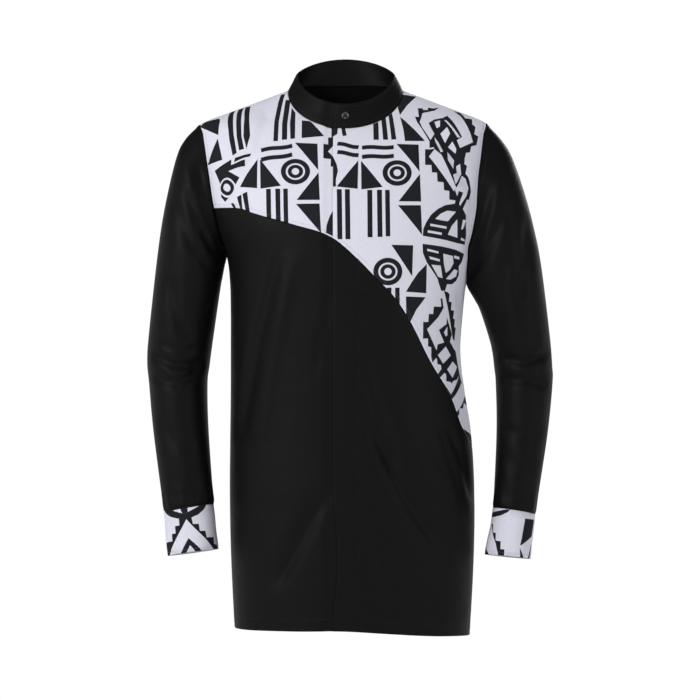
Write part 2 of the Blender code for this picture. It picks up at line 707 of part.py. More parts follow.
def add_button(collection):
    """A round button with a raised rim, turned about the band's own outward direction."""
    radius, thick = BUTTON_RADIUS, BUTTON_THICKNESS
    profile = (
        (0.0, thick * 0.72),
        (radius * 0.60, thick * 0.72),
        (radius * 0.78, thick),
        (radius * 0.92, thick * 0.94),
        (radius, thick * 0.62),
        (radius * 0.94, thick * 0.20),
        (radius * 0.70, 0.0),
        (0.0, 0.0),
    )
    mesh = bpy.data.meshes.new("collar_button")
    mesh.from_pydata([(x, 0.0, z) for x, z in profile], [(i, i + 1) for i in range(len(profile) - 1)], [])
    mesh.materials.append(material(BUTTON_RESIN))
    made = bpy.data.objects.new("collar_button", mesh)
    collection.objects.link(made)
    turned = made.modifiers.new("turned", "SCREW")
    turned.steps = turned.render_steps = 24
    turned.use_merge_vertices = True
    turned.merge_threshold = 0.00005
    turned.use_normal_calculate = True
    up = 1 - BUTTON_DOWN
    low, high = collar_point(0.0, 0.0), collar_point(0.0, 1.0)
    spot = low + (high - low) * up
    rise = Vector(high - low).normalized()
    outward = Vector((1.0, 0.0, 0.0)).cross(rise).normalized()
    made.rotation_mode = "QUATERNION"
    made.rotation_quaternion = outward.to_track_quat("Z", "Y")
    made.location = Vector(spot) + outward * 0.0006


def clear_scene():
    for item in list(bpy.data.objects):
        bpy.data.objects.remove(item, do_unlink=True)


def main():
    clear_scene()
    collection = bpy.data.collections.new("print_panel_tunic_shirt")
    bpy.context.scene.collection.children.link(collection)
    front_panels(collection)
    back_panels(collection)
    for side in (-1, 1):
        add_sleeve(side, collection)
        add_cuff(side, collection)
    add_collar(collection)
    add_button(collection)


if __name__ == "__main__":
    main()
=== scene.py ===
"""A man's long-sleeved tunic shirt in black poplin with geometric print panels, worn and hollow.

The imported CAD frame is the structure. Each piece of cloth is laid on its own solid's form at a finer step,
with the creases, print, stitching and materials of the real shirt. The wearer faces -Y, +X is the wearer's
left, and the origin is the middle of the neck. Metres, with the print's chart in millimetres of cloth.
"""

import math

import bmesh
import bpy
import numpy as np
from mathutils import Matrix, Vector
from mathutils.geometry import delaunay_2d_cdt


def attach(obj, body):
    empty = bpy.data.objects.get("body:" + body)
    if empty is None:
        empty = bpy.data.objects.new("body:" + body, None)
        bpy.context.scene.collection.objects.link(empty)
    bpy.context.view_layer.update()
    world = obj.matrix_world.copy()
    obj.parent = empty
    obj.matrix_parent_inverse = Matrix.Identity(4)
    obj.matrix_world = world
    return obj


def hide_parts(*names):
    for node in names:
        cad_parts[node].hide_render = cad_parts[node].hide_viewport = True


bl_info = {
    "name": "Print panel tunic shirt",
    "version": (1, 0, 0),
    "blender": (4, 5, 0),
    "location": "3D View > Sidebar > Tunic",
    "description": "Builds a worn, hollow tunic shirt with printed chest panels, and its studio",
    "category": "Add Mesh",
}

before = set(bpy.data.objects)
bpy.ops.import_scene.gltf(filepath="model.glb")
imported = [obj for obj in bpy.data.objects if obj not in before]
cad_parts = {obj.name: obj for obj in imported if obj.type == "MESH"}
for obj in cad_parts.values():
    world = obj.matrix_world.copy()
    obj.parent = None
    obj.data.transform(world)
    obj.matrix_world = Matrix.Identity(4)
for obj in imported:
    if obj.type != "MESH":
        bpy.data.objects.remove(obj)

# Cloth
CLOTH = 0.0010
BAND = 0.0018
SEAM_GAP = 0.0003
STITCH_IN = 0.0052
LAP_SINK = 0.0024

# Body form in mm: height, half width to the wearer's right and left, depth to the front and to the back
BODY_STATIONS = (
    (0, 88.5, 88.5, 27, 52),
    (-15, 128.5, 128.5, 36, 60),
    (-30, 168.5, 168.5, 48, 68),
    (-45, 208.5, 207, 61, 76),
    (-52, 224, 219, 68, 79),
    (-70, 231, 223, 83, 87),
    (-100, 232.5, 224, 100, 97),
    (-140, 226.5, 220, 116, 107),
    (-180, 216.5, 218, 125, 113),
    (-220, 200, 208, 130, 117),
    (-255, 183, 195, 132, 119),
    (-290, 178, 187, 132, 119),
    (-340, 176.5, 181, 131, 118),
    (-400, 176.5, 177, 129, 116),
    (-460, 176.5, 183, 128, 115),
    (-520, 177, 192.5, 128, 117),
    (-600, 178, 198, 129, 120),
    (-700, 176.5, 198, 130, 122),
    (-860, 169, 190, 130, 123),
)
ROUNDNESS = 2.2
CHEST_LEVEL = -0.270
BACK_NECK_RISE = 0.013
BACK_NECK_REACH = 0.050
BACK_RISE_FADE = 0.080

# Neck, armholes, seams and hem: (x, z) as seen from the front
NECK_HALF_WIDTH = 0.0885
NECK_DROP = 0.064
SHOULDER_TIP = {-1: -0.0515, 1: -0.0490}
ARMPIT = {-1: -0.2550, 1: -0.2960}
ARMHOLE_DIP = 0.21
PLACKET_HALF = 0.0185
PLACKET_BOW = 0.0070
UNDERLAP_SHORT = 0.001
DIAGONAL_SEAM = (
    (-0.1910, -0.184),
    (-0.1550, -0.187),
    (-0.1430, -0.192),
    (-0.0800, -0.211),
    (-0.0190, -0.232),
    (0.0180, -0.263),
    (0.0455, -0.291),
    (0.0765, -0.324),
    (0.0985, -0.358),
    (0.1270, -0.414),
    (0.1630, -0.476),
    (0.1760, -0.512),
    (0.1950, -0.545),
    (0.2050, -0.565),
)
HEM = ((-0.175, -0.825), (-0.060, -0.820), (0.0, -0.819), (0.080, -0.827), (0.192, -0.838))
BACK_HEM_LEVEL = -0.832

# Sleeves in mm: outer point's x and z, inner point's x and z, half depth and how far forward, down to the cuff
SLEEVE_STATIONS = {
    -1: (
        (-224, -51.5, -183, -255, 64, 0),
        (-247.2, -75.5, -184.5, -263.5, 65, 1),
        (-261, -106.3, -186, -270, 66, 2),
        (-278.5, -183, -189, -286, 67, 2),
        (-289.5, -255.6, -193, -308, 66, 1),
        (-302.6, -371.1, -204.4, -385, 62, -4),
        (-305.7, -415.8, -209.4, -422, 60, -6),
        (-302.6, -451.2, -212.5, -450, 57, -4),
        (-295, -526, -210.5, -519, 50, 6),
        (-278.4, -645.3, -201.2, -635.4, 38, 24),
        (-271.7, -713.4, -193.1, -702.7, 36, 34),
    ),
    1: (
        (217.5, -49, 186, -296, 64, 0),
        (241, -75.5, 188.5, -304, 65, 1),
        (258, -106.3, 191.5, -309.5, 66, 2),
        (281.5, -178, 199, -322, 67, 2),
        (299.1, -255.6, 208, -340, 66, 1),
        (314.2, -371.1, 224, -390, 62, -4),
        (318.8, -423.5, 229.5, -426, 59, -6),
        (319.1, -451.2, 231.8, -454, 56, -4),
        (310.5, -530, 232.2, -529, 49, 6),
        (290.9, -650.7, 225.1, -640.7, 37, 24),
        (283.3, -718, 212.3, -711.1, 35, 34),
    ),
}
CUFF_START = 9
FORWARD_TILT = 0.10
SEAM_TURN = 0.004
YOKE_SEAM = (-0.1214, -0.1338)

# Collar: half widths, depths and heights of its lower and upper edge, by the turn from the centre front
COLLAR_TOP_HALF = 0.0755
COLLAR_TOP_FRONT = 0.071
COLLAR_TOP_BACK = 0.054
COLLAR_SIDE_HEIGHT = 0.026
COLLAR_FRONT_DROP = 0.0525
COLLAR_BACK_RISE = 0.0285
COLLAR_LAP = 0.0030
BUTTON_RADIUS = 0.0057
BUTTON_THICKNESS = 0.0026
BUTTON_DOWN = 0.50

# Largest folds: face, from, to (x, z as seen from the front), depth (+ out, - in) and half width
BODY_FOLDS = (
    (-1, (-0.100, -0.230), (-0.165, -0.560), -0.0040, 0.016),
    (-1, (-0.078, -0.235), (-0.138, -0.560), 0.0040, 0.020),
    (-1, (0.022, -0.400), (0.080, -0.600), -0.0035, 0.014),
    (-1, (0.030, -0.490), (0.140, -0.700), -0.0040, 0.016),
    (-1, (0.060, -0.470), (0.165, -0.640), 0.0035, 0.018),
    (-1, (-0.030, -0.600), (-0.115, -0.765), -0.0040, 0.016),
    (1, (-0.070, -0.240), (-0.120, -0.600), -0.0050, 0.020),
    (1, (0.075, -0.250), (0.110, -0.620), -0.0050, 0.020),
    (1, (0.000, -0.420), (0.010, -0.780), 0.0050, 0.028),
)
FOLD_EDGE = 0.060

# Edges, stitched dents and small waves
STITCH_LINE = 0.0195
PUCKER = 0.0013
PUCKER_PITCH = 0.031
PUCKER_REACH = 0.009
HEM_WAVE = 0.0014
HEM_WAVE_PITCH = 0.093
CREASE_FADE = 0.035
EDGE_ROLL = 0.0005
EDGE_REACH = 0.0024
STITCH_DENT = 0.00035
STITCH_REACH = 0.0011
STITCH_HIGH = -0.00015
HEM_STITCHES = 0.018
PLACKET_ROW = (-0.071, -0.812, -0.004)
PLACKET_ROW_PRINT_END = -0.268
SILHOUETTE = 0.35
WRINKLE_HIGH = 0.004

# Mesh steps
PRINT_EDGE = 0.004
PRINT_STEP = 0.0038
PLAIN_STEP = 0.0046
CUFF_STEP = 0.0042
SEAM_STEP = 0.004
INNER_EDGE_STEP = 0.005
STRIPS = (0.0012, 0.0028, 0.0052, 0.0076)
ARM_STEPS = 60
SLEEVE_TURNS = 60
BUTTON_TURNS = 56
NECK_STEP = math.radians(2.5)
GRAIN_STEP = 0.003
GRAIN_COLUMNS = np.arange(-0.342, 0.3421, GRAIN_STEP)

# Sleeve, cuff and collar
SLEEVE_AROUND = 0.40
GATHER = 0.0014
CUFF_RADIUS = 0.039
CUFF_DEEP = 0.069
CUFF_STITCHES = (0.10, 0.93)
COLLAR_DEEP = 0.039
COLLAR_TUCK = 0.035
COLLAR_AROUND = 0.08

# Stage
CAMERA_FAR = 4.0
CAMERA_WIDE = 1.078
CAMERA_X = 0.007
CAMERA_Z = -0.399
FLOOR_LEVEL = -1.6
FLOOR_RADIUS = 4.8
EYE_LEVEL_LIGHT = 1.02
OVERHEAD_LIGHT = 0.16
FLOOR_GLOW = 0.30

GRAIN_TABLES = {}
MADE = {}

# Creases on top of the frame's folds, in mm: (x, z) as seen from the front, height, lean and half width
FRONT_CREASES = (
    (((-96, -225), (-140, -380), (-170, -565)), 0, 4.2, 10),
    (((-70, -260), (-105, -420), (-128, -600)), 0, 2, 12),
    (((-24, -310), (-47, -440)), -1.7, 0.8, 8),
    (((-22, -600), (-70, -690), (-113, -764)), -3.1, 1.4, 9),
    (((22, -400), (50, -500), (78, -600)), -2.6, 1.7, 9),
    (((24, -487), (93, -630), (153, -713)), -3.1, 2.2, 10),
    (((149, -505), (176, -570), (196, -640)), -2.7, 1.4, 6),
    (((132, -500), (158, -580), (185, -680)), 0, 2, 8),
    (((22, -690), (50, -740), (78, -800)), -2.4, 1.3, 8),
    (((-192, -172), (-165, -140), (-139, -99)), 0, -5, 8),
    (((-140, -98), (-128, -60), (-120, -30)), -1.2, -3.4, 10),
    (((125, -45), (152, -95), (190, -165)), -2.8, 2.8, 9),
    (((192, -145), (188, -200), (180, -262)), -2.4, 3.9, 9),
    (((170, -290), (176, -360), (182, -450)), -2.4, 2, 9),
)
BACK_CREASES = (
    (((-110, -190), (-120, -350), (-100, -600)), -2.7, 2.2, 14),
    (((115, -200), (120, -380), (105, -640)), -2.7, 2.2, 14),
    (((-160, -240), (-90, -330), (-40, -440)), -2.4, 1.4, 12),
    (((160, -270), (95, -360), (45, -470)), -2.4, 1.4, 12),
    (((-20, -500), (-60, -640), (-70, -780)), -2, 1.4, 12),
    (((30, -560), (60, -680), (75, -800)), -2, 1.4, 12),
)
SLEEVE_CREASES = {
    -1: (
        (((-188, -262), (-215, -215), (-244, -150)), -5.1, 3.1, 10),
        (((-192, -290), (-232, -235), (-262, -160)), -3.4, 2.5, 10),
        (((-200, -240), (-214, -170), (-222, -110)), -3.7, 2.2, 9),
        (((-270, -285), (-262, -340), (-236, -392)), -4.4, 3.1, 11),
        (((-300, -405), (-262, -424), (-212, -426)), -5.8, 3.1, 8),
        (((-298, -442), (-256, -452), (-214, -430)), -4.4, 2.5, 8),
        (((-222, -396), (-250, -400), (-286, -386)), -2.7, 1.7, 7),
        (((-290, -500), (-262, -540), (-226, -556)), -3.1, 2, 10),
        (((-214, -585), (-240, -600), (-268, -596)), -2, 1.4, 7),
        (((-278, -618), (-248, -624), (-216, -608)), -2, 1.4, 6),
    ),
    1: (
        (((190, -296), (220, -240), (244, -190)), -5.1, 3.1, 10),
        (((192, -300), (206, -210), (224, -140)), -4.1, 2.2, 10),
        (((276, -190), (272, -260), (256, -336)), -4.1, 3.1, 12),
        (((240, -250), (236, -320), (226, -385)), -2.7, 2, 10),
        (((232, -412), (272, -420), (316, -405)), -5.8, 3.1, 8),
        (((234, -448), (274, -446), (312, -456)), -4.4, 2.5, 8),
        (((308, -520), (272, -528), (236, -515)), -3.1, 2, 8),
        (((236, -560), (262, -580), (298, -580)), -2.4, 1.7, 8),
        (((290, -622), (262, -626), (234, -612)), -2, 1.4, 6),
    ),
}
SLEEVE_BACK_CREASES = {
    -1: (
        (((-192, -270), (-220, -220), (-250, -170)), -4.1, 2.5, 11),
        (((-298, -395), (-258, -412), (-214, -408)), -4.1, 2.2, 10),
        (((-296, -470), (-256, -486), (-216, -470)), -3.1, 2, 10),
        (((-270, -250), (-262, -310), (-246, -350)), -2.7, 2, 12),
    ),
    1: (
        (((194, -305), (224, -250), (254, -200)), -4.1, 2.5, 11),
        (((234, -400), (272, -412), (310, -398)), -4.1, 2.2, 10),
        (((236, -470), (274, -484), (308, -474)), -3.1, 2, 10),
        (((280, -260), (272, -320), (256, -360)), -2.7, 2, 12),
    ),
}


def smooth(x, stations, values):
    """A smooth curve through given stations, level past its ends."""
    order = np.argsort(stations)
    xs = np.asarray(stations, float)[order]
    ys = np.asarray(values, float)[order]
    rises = np.diff(ys) / np.diff(xs)
    slopes = np.concatenate([rises[:1], (rises[1:] + rises[:-1]) / 2, rises[-1:]])
    x = np.clip(x, xs[0], xs[-1])
    i = np.clip(np.searchsorted(xs, x) - 1, 0, len(xs) - 2)
    h = xs[i + 1] - xs[i]
    u = (x - xs[i]) / h
    start = (1 + 2 * u) * (1 - u) ** 2 * ys[i] + u * (1 - u) ** 2 * h * slopes[i]
    end = u**2 * (3 - 2 * u) * ys[i + 1] + u**2 * (u - 1) * h * slopes[i + 1]
    return start + end


def ease(x):
    x = np.clip(x, 0.0, 1.0)
    return x * x * (3 - 2 * x)


def ring_tables():
    """Quarter rings of half width 1 by depth and by share of their length: length, across, deep."""
    ratios = np.linspace(0.04, 1.0, 97)
    shares = np.linspace(0.0, 1.0, 129)
    turn = np.linspace(0.0, math.pi / 2, 1501)
    across = np.sin(turn) ** (2 / ROUNDNESS)
    deep = np.cos(turn) ** (2 / ROUNDNESS)
    lengths, xs, ys = [], [], []
    for ratio in ratios:
        steps = np.hypot(np.diff(across), ratio * np.diff(deep))
        run = np.concatenate([[0.0], np.cumsum(steps)])
        lengths.append(run[-1])
        xs.append(np.interp(shares, run / run[-1], across))
        ys.append(np.interp(shares, run / run[-1], deep))
    return ratios, np.array(lengths), np.array(xs), np.array(ys)


RATIOS, LENGTHS, ACROSS, DEEP = ring_tables()
STATION_COLUMNS = np.array(BODY_STATIONS).T / 1000
HEIGHTS = STATION_COLUMNS[0]
GRAIN_LEVELS = HEIGHTS[-1] * np.linspace(1, 0, 260) ** 1.6


def half_width(side, z):
    return np.where(side < 0, smooth(z, HEIGHTS, STATION_COLUMNS[1]), smooth(z, HEIGHTS, STATION_COLUMNS[2]))


def depth(face, z):
    return smooth(z, HEIGHTS, STATION_COLUMNS[3 if face < 0 else 4])


def side_length(side, face, z):
    """Cloth across the body from the centre line to the side or the shoulder ridge."""
    width = half_width(side, z)
    return width * np.interp(depth(face, z) / width, RATIOS, LENGTHS)


def from_table(table, ratio, share):
    row = np.clip((ratio - RATIOS[0]) / (RATIOS[1] - RATIOS[0]), 0, len(RATIOS) - 1.001)
    column = np.clip(share * (table.shape[1] - 1), 0, table.shape[1] - 1.001)
    i, j = row.astype(int), column.astype(int)
    u, v = row - i, column - j
    lower = table[i, j] * (1 - v) + table[i, j + 1] * v
    upper = table[i + 1, j] * (1 - v) + table[i + 1, j + 1] * v
    return lower * (1 - u) + upper * u


def path_distance(x, z, path):
    """Signed distance to a bent line of (x, z) points, and how far along it, 0 to 1."""
    best = np.full(x.shape, 1e3)
    side = np.ones(x.shape)
    along = np.zeros(x.shape)
    runs = np.linalg.norm(np.diff(path, axis=0), axis=1)
    before = np.concatenate([[0.0], np.cumsum(runs)])
    for (ax, az), (bx, bz), run, start in zip(path, path[1:], runs, before):
        ux, uz = (bx - ax) / run, (bz - az) / run
        u = np.clip((x - ax) * ux + (z - az) * uz, 0, run)
        away = np.hypot(x - ax - u * ux, z - az - u * uz)
        closer = away < best
        best = np.where(closer, away, best)
        side = np.where(closer, np.sign((x - ax) * uz - (z - az) * ux), side)
        along = np.where(closer, (start + u) / before[-1], along)
    return best * side, along


def creases(x, z, folds):
    """Soft troughs, ridges and leaning folds, each fading towards its ends."""
    out = np.zeros(x.shape)
    for path, *shape in folds:
        away, along = path_distance(x, z, np.array(path) / 1000)
        height, lean, half = np.array(shape) / 1000
        q = away / half
        bell = np.exp(-(q**2)) * ease(along * 5) * ease((1 - along) * 5)
        out += bell * (height + lean * q)
    return out


def fold_depth(face, x, y, z):
    """How far the frame's folds move the cloth out, fading towards the sides."""
    out = np.zeros_like(x)
    for fold_face, start, end, height, half in BODY_FOLDS:
        if fold_face != face:
            continue
        along = np.subtract(end, start)
        u = ((x - start[0]) * along[0] + (z - start[1]) * along[1]) / np.dot(along, along)
        near = np.clip(u, 0, 1)
        away = np.hypot(x - start[0] - near * along[0], z - start[1] - near * along[1])
        out += height * np.exp(-((away / half) ** 2)) * ease(u * 4) * ease((1 - u) * 4)
    return out * ease(np.abs(y) / FOLD_EDGE)


def fine_depth(face, x, y, z):
    """The creases of the real cloth, on top of the frame's folds."""
    if face < 0:
        out = creases(x, z, FRONT_CREASES)
        near = np.exp(-(((x - STITCH_LINE) / PUCKER_REACH) ** 2)) * ease((-0.26 - z) / 0.05)
        out -= PUCKER * near * (0.4 + 0.6 * np.cos(z * 2 * math.pi / PUCKER_PITCH + 2.2 * np.sin(z * 41)))
    else:
        out = creases(x, z, BACK_CREASES)
    hem = ease((z + 0.80) / -0.03)
    out += HEM_WAVE * hem * np.sin(x * 2 * math.pi / HEM_WAVE_PITCH + face)
    return out * (SILHOUETTE + (1 - SILHOUETTE) * ease(np.abs(y) / CREASE_FADE))


def unit_ring(face, s, z):
    side = np.where(s < 0, -1, 1)
    ratio = depth(face, z) / half_width(side, z)
    share = np.clip(np.abs(s) / side_length(side, face, z), 0, 1)
    return side, from_table(ACROSS, ratio, share), from_table(DEEP, ratio, share)


def body_normal(face, side, unit_x, unit_y, z):
    step = 1e-4
    width, deep = half_width(side, z), depth(face, z)
    width_slope = (half_width(side, z + step) - half_width(side, z - step)) / (2 * step)
    deep_slope = (depth(face, z + step) - depth(face, z - step)) / (2 * step)
    nx = side * unit_x ** (ROUNDNESS - 1) / width
    ny = face * unit_y ** (ROUNDNESS - 1) / deep
    nz = -(unit_x**ROUNDNESS) * width_slope / width - unit_y**ROUNDNESS * deep_slope / deep
    normal = np.stack([nx, ny, nz], axis=-1)
    return normal / np.linalg.norm(normal, axis=-1, keepdims=True)


def body_point(face, s, z, out=0.0, fine=True):
    """The cloth's outer surface, s metres of cloth across from the centre line, at ring height z."""
    s, z = np.broadcast_arrays(np.asarray(s, float), np.asarray(z, float))
    side, unit_x, unit_y = unit_ring(face, s, z)
    x = side * half_width(side, z) * unit_x
    y = face * depth(face, z) * unit_y
    normal = body_normal(face, side, unit_x, unit_y, z)
    moved = fold_depth(face, x, y, z) + out
    if fine:
        moved = moved + fine_depth(face, x, y, z)
    lift = BACK_NECK_RISE * ease(y / BACK_NECK_REACH) * np.exp(z / BACK_RISE_FADE)
    return np.stack([x, y, z + lift], axis=-1) + normal * moved[..., None]


def grain_table(face):
    """Cloth height above the chest line, by grain line across and ring level down."""
    if face not in GRAIN_TABLES:
        s, z = np.meshgrid(GRAIN_COLUMNS, GRAIN_LEVELS, indexing="ij")
        points = body_point(face, s, z, fine=False)
        steps = np.linalg.norm(np.diff(points, axis=1), axis=2)
        run = np.concatenate([np.zeros((len(GRAIN_COLUMNS), 1)), np.cumsum(steps, axis=1)], axis=1)
        chest = [np.interp(CHEST_LEVEL, GRAIN_LEVELS, line) for line in run]
        GRAIN_TABLES[face] = run - np.array(chest)[:, None]
    return GRAIN_TABLES[face]


def between_columns(s, read):
    """A value read from the grain lines on each side of every s, then mixed."""
    place = np.clip((s - GRAIN_COLUMNS[0]) / GRAIN_STEP, 0, len(GRAIN_COLUMNS) - 1.001)
    column = place.astype(int)
    value = np.zeros(len(s))
    for one in np.unique(column):
        here = column == one
        u = place[here] - one
        value[here] = read(one, here) * (1 - u) + read(one + 1, here) * u
    return value


def cloth_height(face, s, z):
    table = grain_table(face)
    return between_columns(s, lambda column, here: np.interp(z[here], GRAIN_LEVELS, table[column]))


def on_cloth(face, line):
    """A line of (s, z) points as (s, cloth height) points."""
    return np.stack([line[:, 0], cloth_height(face, line[:, 0], line[:, 1])], axis=1)


def level_at(face, s, height):
    table = grain_table(face)
    return between_columns(s, lambda column, here: np.interp(height[here], table[column], GRAIN_LEVELS))


def s_at(face, x, z):
    """Cloth from the centre line to the point at x on the ring at height z."""
    side = -1 if x < 0 else 1
    tries = np.linspace(0, float(side_length(side, face, np.asarray(z))), 400)
    xs = np.abs(body_point(face, side * tries, np.full(400, float(z)), fine=False)[:, 0])
    return side * float(np.interp(abs(x), np.maximum.accumulate(xs), tries))


def edge_s(side, face, z):
    """The side seam or the shoulder seam, half a seam gap short of the line it shares."""
    return side * (side_length(side, face, np.asarray(z, float)) - SEAM_GAP / 2)


def shoulder_seam(side, face):
    z = np.linspace(0.0, SHOULDER_TIP[side], 34)
    return np.stack([edge_s(side, face, z), z], axis=1)


def armhole(side, face, steps=ARM_STEPS):
    turns = np.linspace(0, math.pi, steps + 1)
    z = SHOULDER_TIP[side] + (ARMPIT[side] - SHOULDER_TIP[side]) * (1 - np.cos(turns)) / 2
    share = 1 - ARMHOLE_DIP * np.maximum(np.sin(turns), 0) ** 0.8
    return np.stack([edge_s(side, face, z) * share, z], axis=1)


def hem_level(face, s):
    """The hem's height; the back meets the front's height at each side."""
    xs, zs = zip(*HEM)
    front = smooth(np.asarray(s) * 0.72, xs, zs)
    if face < 0:
        return front
    return BACK_HEM_LEVEL + (front - BACK_HEM_LEVEL) * ease(np.abs(s) / 0.245)


def side_seam(side, face):
    low = float(hem_level(-1, edge_s(side, -1, HEM[-1][1])))
    z = np.linspace(ARMPIT[side], low, 110)
    return np.stack([edge_s(side, face, z), z], axis=1)


def neck_spot(turn):
    """The neckline by its turn from the centre front: face, s, z."""
    side = -1 if turn < 0 else 1
    turn = abs(turn)
    if turn > math.pi / 2 + 1e-6:
        length = float(side_length(side, 1, np.asarray(0.0)))
        return 1, side * length * 2 * (math.pi - turn) / math.pi, 0.0
    if turn > math.pi / 2 - 1e-6:
        return -1, float(edge_s(side, -1, 0.0)), 0.0
    z = -NECK_DROP * math.cos(turn)
    return -1, s_at(-1, side * NECK_HALF_WIDTH * math.sin(turn), z), z


def neck_line(start, end):
    count = max(2, round(abs(end - start) / NECK_STEP))
    return np.array([neck_spot(turn)[1:] for turn in np.linspace(start, end, count + 1)])


def diagonal_seam(start_x, end_x):
    xs = np.linspace(start_x, end_x, round(abs(end_x - start_x) / SEAM_STEP))
    zs = smooth(xs, *zip(*DIAGONAL_SEAM))
    return np.array([(s_at(-1, x, z), z) for x, z in zip(xs, zs)])


def inner_edge(side, z):
    """The left front's free edge, which bows open near the hem, or the right front's edge under it."""
    if side < 0:
        return np.full(np.shape(z), PLACKET_HALF - UNDERLAP_SHORT)
    low = ease((-0.60 - z) / 0.11) * (1 - ease((-0.71 - z) / 0.11))
    return -PLACKET_HALF + PLACKET_BOW * low


def lap_turn():
    return math.asin(PLACKET_HALF / NECK_HALF_WIDTH)


def crossing(line, edge):
    """Where a seam first meets an edge."""
    for a, b in zip(line, line[1:]):
        for c, d in zip(edge, edge[1:]):
            run, other, gap = b - a, d - c, c - a
            base = run[0] * other[1] - run[1] * other[0]
            u = (gap[0] * other[1] - gap[1] * other[0]) / base
            v = (gap[0] * run[1] - gap[1] * run[0]) / base
            if 0 <= u <= 1 and 0 <= v <= 1:
                return c + v * other
    raise ValueError("the seam doesn't meet the edge")


def inside(polygon, points):
    x, y = points[:, 0:1], points[:, 1:2]
    a, b = polygon, np.roll(polygon, -1, axis=0)
    spans = (a[:, 1] > y) != (b[:, 1] > y)
    with np.errstate(divide="ignore", invalid="ignore"):
        cross = a[:, 0] + (y - a[:, 1]) / (b[:, 1] - a[:, 1]) * (b[:, 0] - a[:, 0])
    return (spans & (x < cross)).sum(axis=1) % 2 == 1


def distance_to(a, b, points):
    """Distance of each point to the nearest of the lines from a to b."""
    nearest = np.full(len(points), 1e3)
    for first in range(0, len(a), 64):
        start, along = a[first:first + 64], b[first:first + 64] - a[first:first + 64]
        offset = points[:, None, :] - start[None]
        size = np.maximum((along**2).sum(1), 1e-14)
        u = np.clip((offset * along).sum(2) / size, 0, 1)
        away = np.linalg.norm(offset - u[..., None] * along, axis=2).min(axis=1)
        nearest = np.minimum(nearest, away)
    return nearest


def ring_distance(polygon, points):
    return distance_to(polygon, np.roll(polygon, -1, axis=0), points)


def inner_strip(polygon, width):
    """The outline moved in by one width, corner by corner, without the points that end up too near it."""
    before = polygon - np.roll(polygon, 1, axis=0)
    after = np.roll(polygon, -1, axis=0) - polygon
    turned = []
    for edge in (before, after):
        length = np.maximum(np.linalg.norm(edge, axis=1), 1e-9)
        turned.append(np.stack([-edge[:, 1], edge[:, 0]], axis=1) / length[:, None])
    middle = turned[0] + turned[1]
    strip = polygon + middle * width / np.maximum((middle * turned[0]).sum(1), 0.6)[:, None]
    return strip[inside(polygon, strip) & (ring_distance(polygon, strip) > width * 0.9)]


def resampled(ring, step):
    """A closed outline with points no further apart than one step."""
    pieces = []
    for a, b in zip(ring, np.roll(ring, -1, axis=0)):
        count = max(1, math.ceil(np.linalg.norm(b - a) / step))
        pieces.append(a + (b - a) * np.arange(count)[:, None] / count)
    return np.concatenate(pieces)


def flat_mesh(outline, step, chart):
    """Triangles inside a flat outline, cut along the chart's shapes: points, input row or -1, faces, inked."""
    shapes = []
    for polygon, inked in chart:
        polygon = resampled(polygon, PRINT_EDGE)
        if inside(outline, polygon).any() or inside(polygon, outline).any():
            shapes.append((polygon, inked))
    low, high = outline.min(axis=0), outline.max(axis=0)
    across = np.arange(low[0], high[0], step)
    grid = []
    for k, s in enumerate(across):
        up = np.arange(low[1] + step / 2 * (k % 2), high[1], step)
        grid.append(np.stack([np.full(len(up), s), up], axis=1))
    grid = np.concatenate(grid)
    grid = grid[inside(outline, grid)]
    grid = grid[ring_distance(outline, grid) > STRIPS[-1] + step * 0.45]
    for polygon, _ in shapes:
        near = (grid >= polygon.min(axis=0) - 0.002).all(1) & (grid <= polygon.max(axis=0) + 0.002).all(1)
        close = near.copy()
        close[near] = ring_distance(polygon, grid[near]) < 0.0013
        grid = grid[~close]
    strips = [inner_strip(outline, width) for width in STRIPS]
    spots = [outline, *strips, grid]
    edges = []
    for polygon, _ in shapes:
        first = sum(len(group) for group in spots)
        count = len(polygon)
        edges += [(first + k, first + (k + 1) % count) for k in range(count)]
        spots.append(polygon)
    spots = np.concatenate(spots)
    boundary = [list(range(len(outline)))]
    vectors = [Vector(spot) for spot in spots]
    corners, _, faces, origins, _, _ = delaunay_2d_cdt(vectors, edges, boundary, 1, 1e-7)
    corners = np.array([tuple(corner) for corner in corners])
    faces = np.array([face for face in faces if len(face) == 3])
    middle = corners[faces].mean(axis=1)
    inner = inside(outline, middle)
    faces, middle = faces[inner], middle[inner]
    inked = np.zeros(len(faces), bool)
    for polygon, dark in shapes:
        inked[inside(polygon, middle)] = dark
    source = np.array([origin[0] if origin and origin[0] < len(outline) else -1 for origin in origins])
    used = np.unique(faces)
    index = np.full(len(corners), -1)
    index[used] = np.arange(len(used))
    return corners[used], source[used], index[faces], inked


def linked(name, data):
    """A new object in the scene."""
    made = bpy.data.objects.new(name, data)
    bpy.context.scene.collection.objects.link(made)
    return made


def add_cloth(name, points, faces, materials, slots, uv, wall=CLOTH, lining=None):
    """One piece of cloth: a sheet with its wall grown inwards, its inner side in the lining's material."""
    mesh = bpy.data.meshes.new(name)
    mesh.from_pydata(points.tolist(), [], np.asarray(faces).tolist())
    for made in materials + [lining] * len(materials) if lining else materials:
        mesh.materials.append(made)
    mesh.polygons.foreach_set("material_index", np.asarray(slots, np.int32))
    layer = mesh.uv_layers.new(name="cloth")
    loops = np.empty(len(mesh.loops), np.int32)
    mesh.loops.foreach_get("vertex_index", loops)
    layer.data.foreach_set("uv", uv[loops].astype(np.float32).ravel())
    mesh.shade_smooth()
    made = linked(name, mesh)
    shell = made.modifiers.new("cloth wall", "SOLIDIFY")
    shell.thickness = wall
    shell.offset = -1.0
    if lining:
        shell.material_offset = len(materials)
        shell.material_offset_rim = len(materials)
    baked(made)
    return made


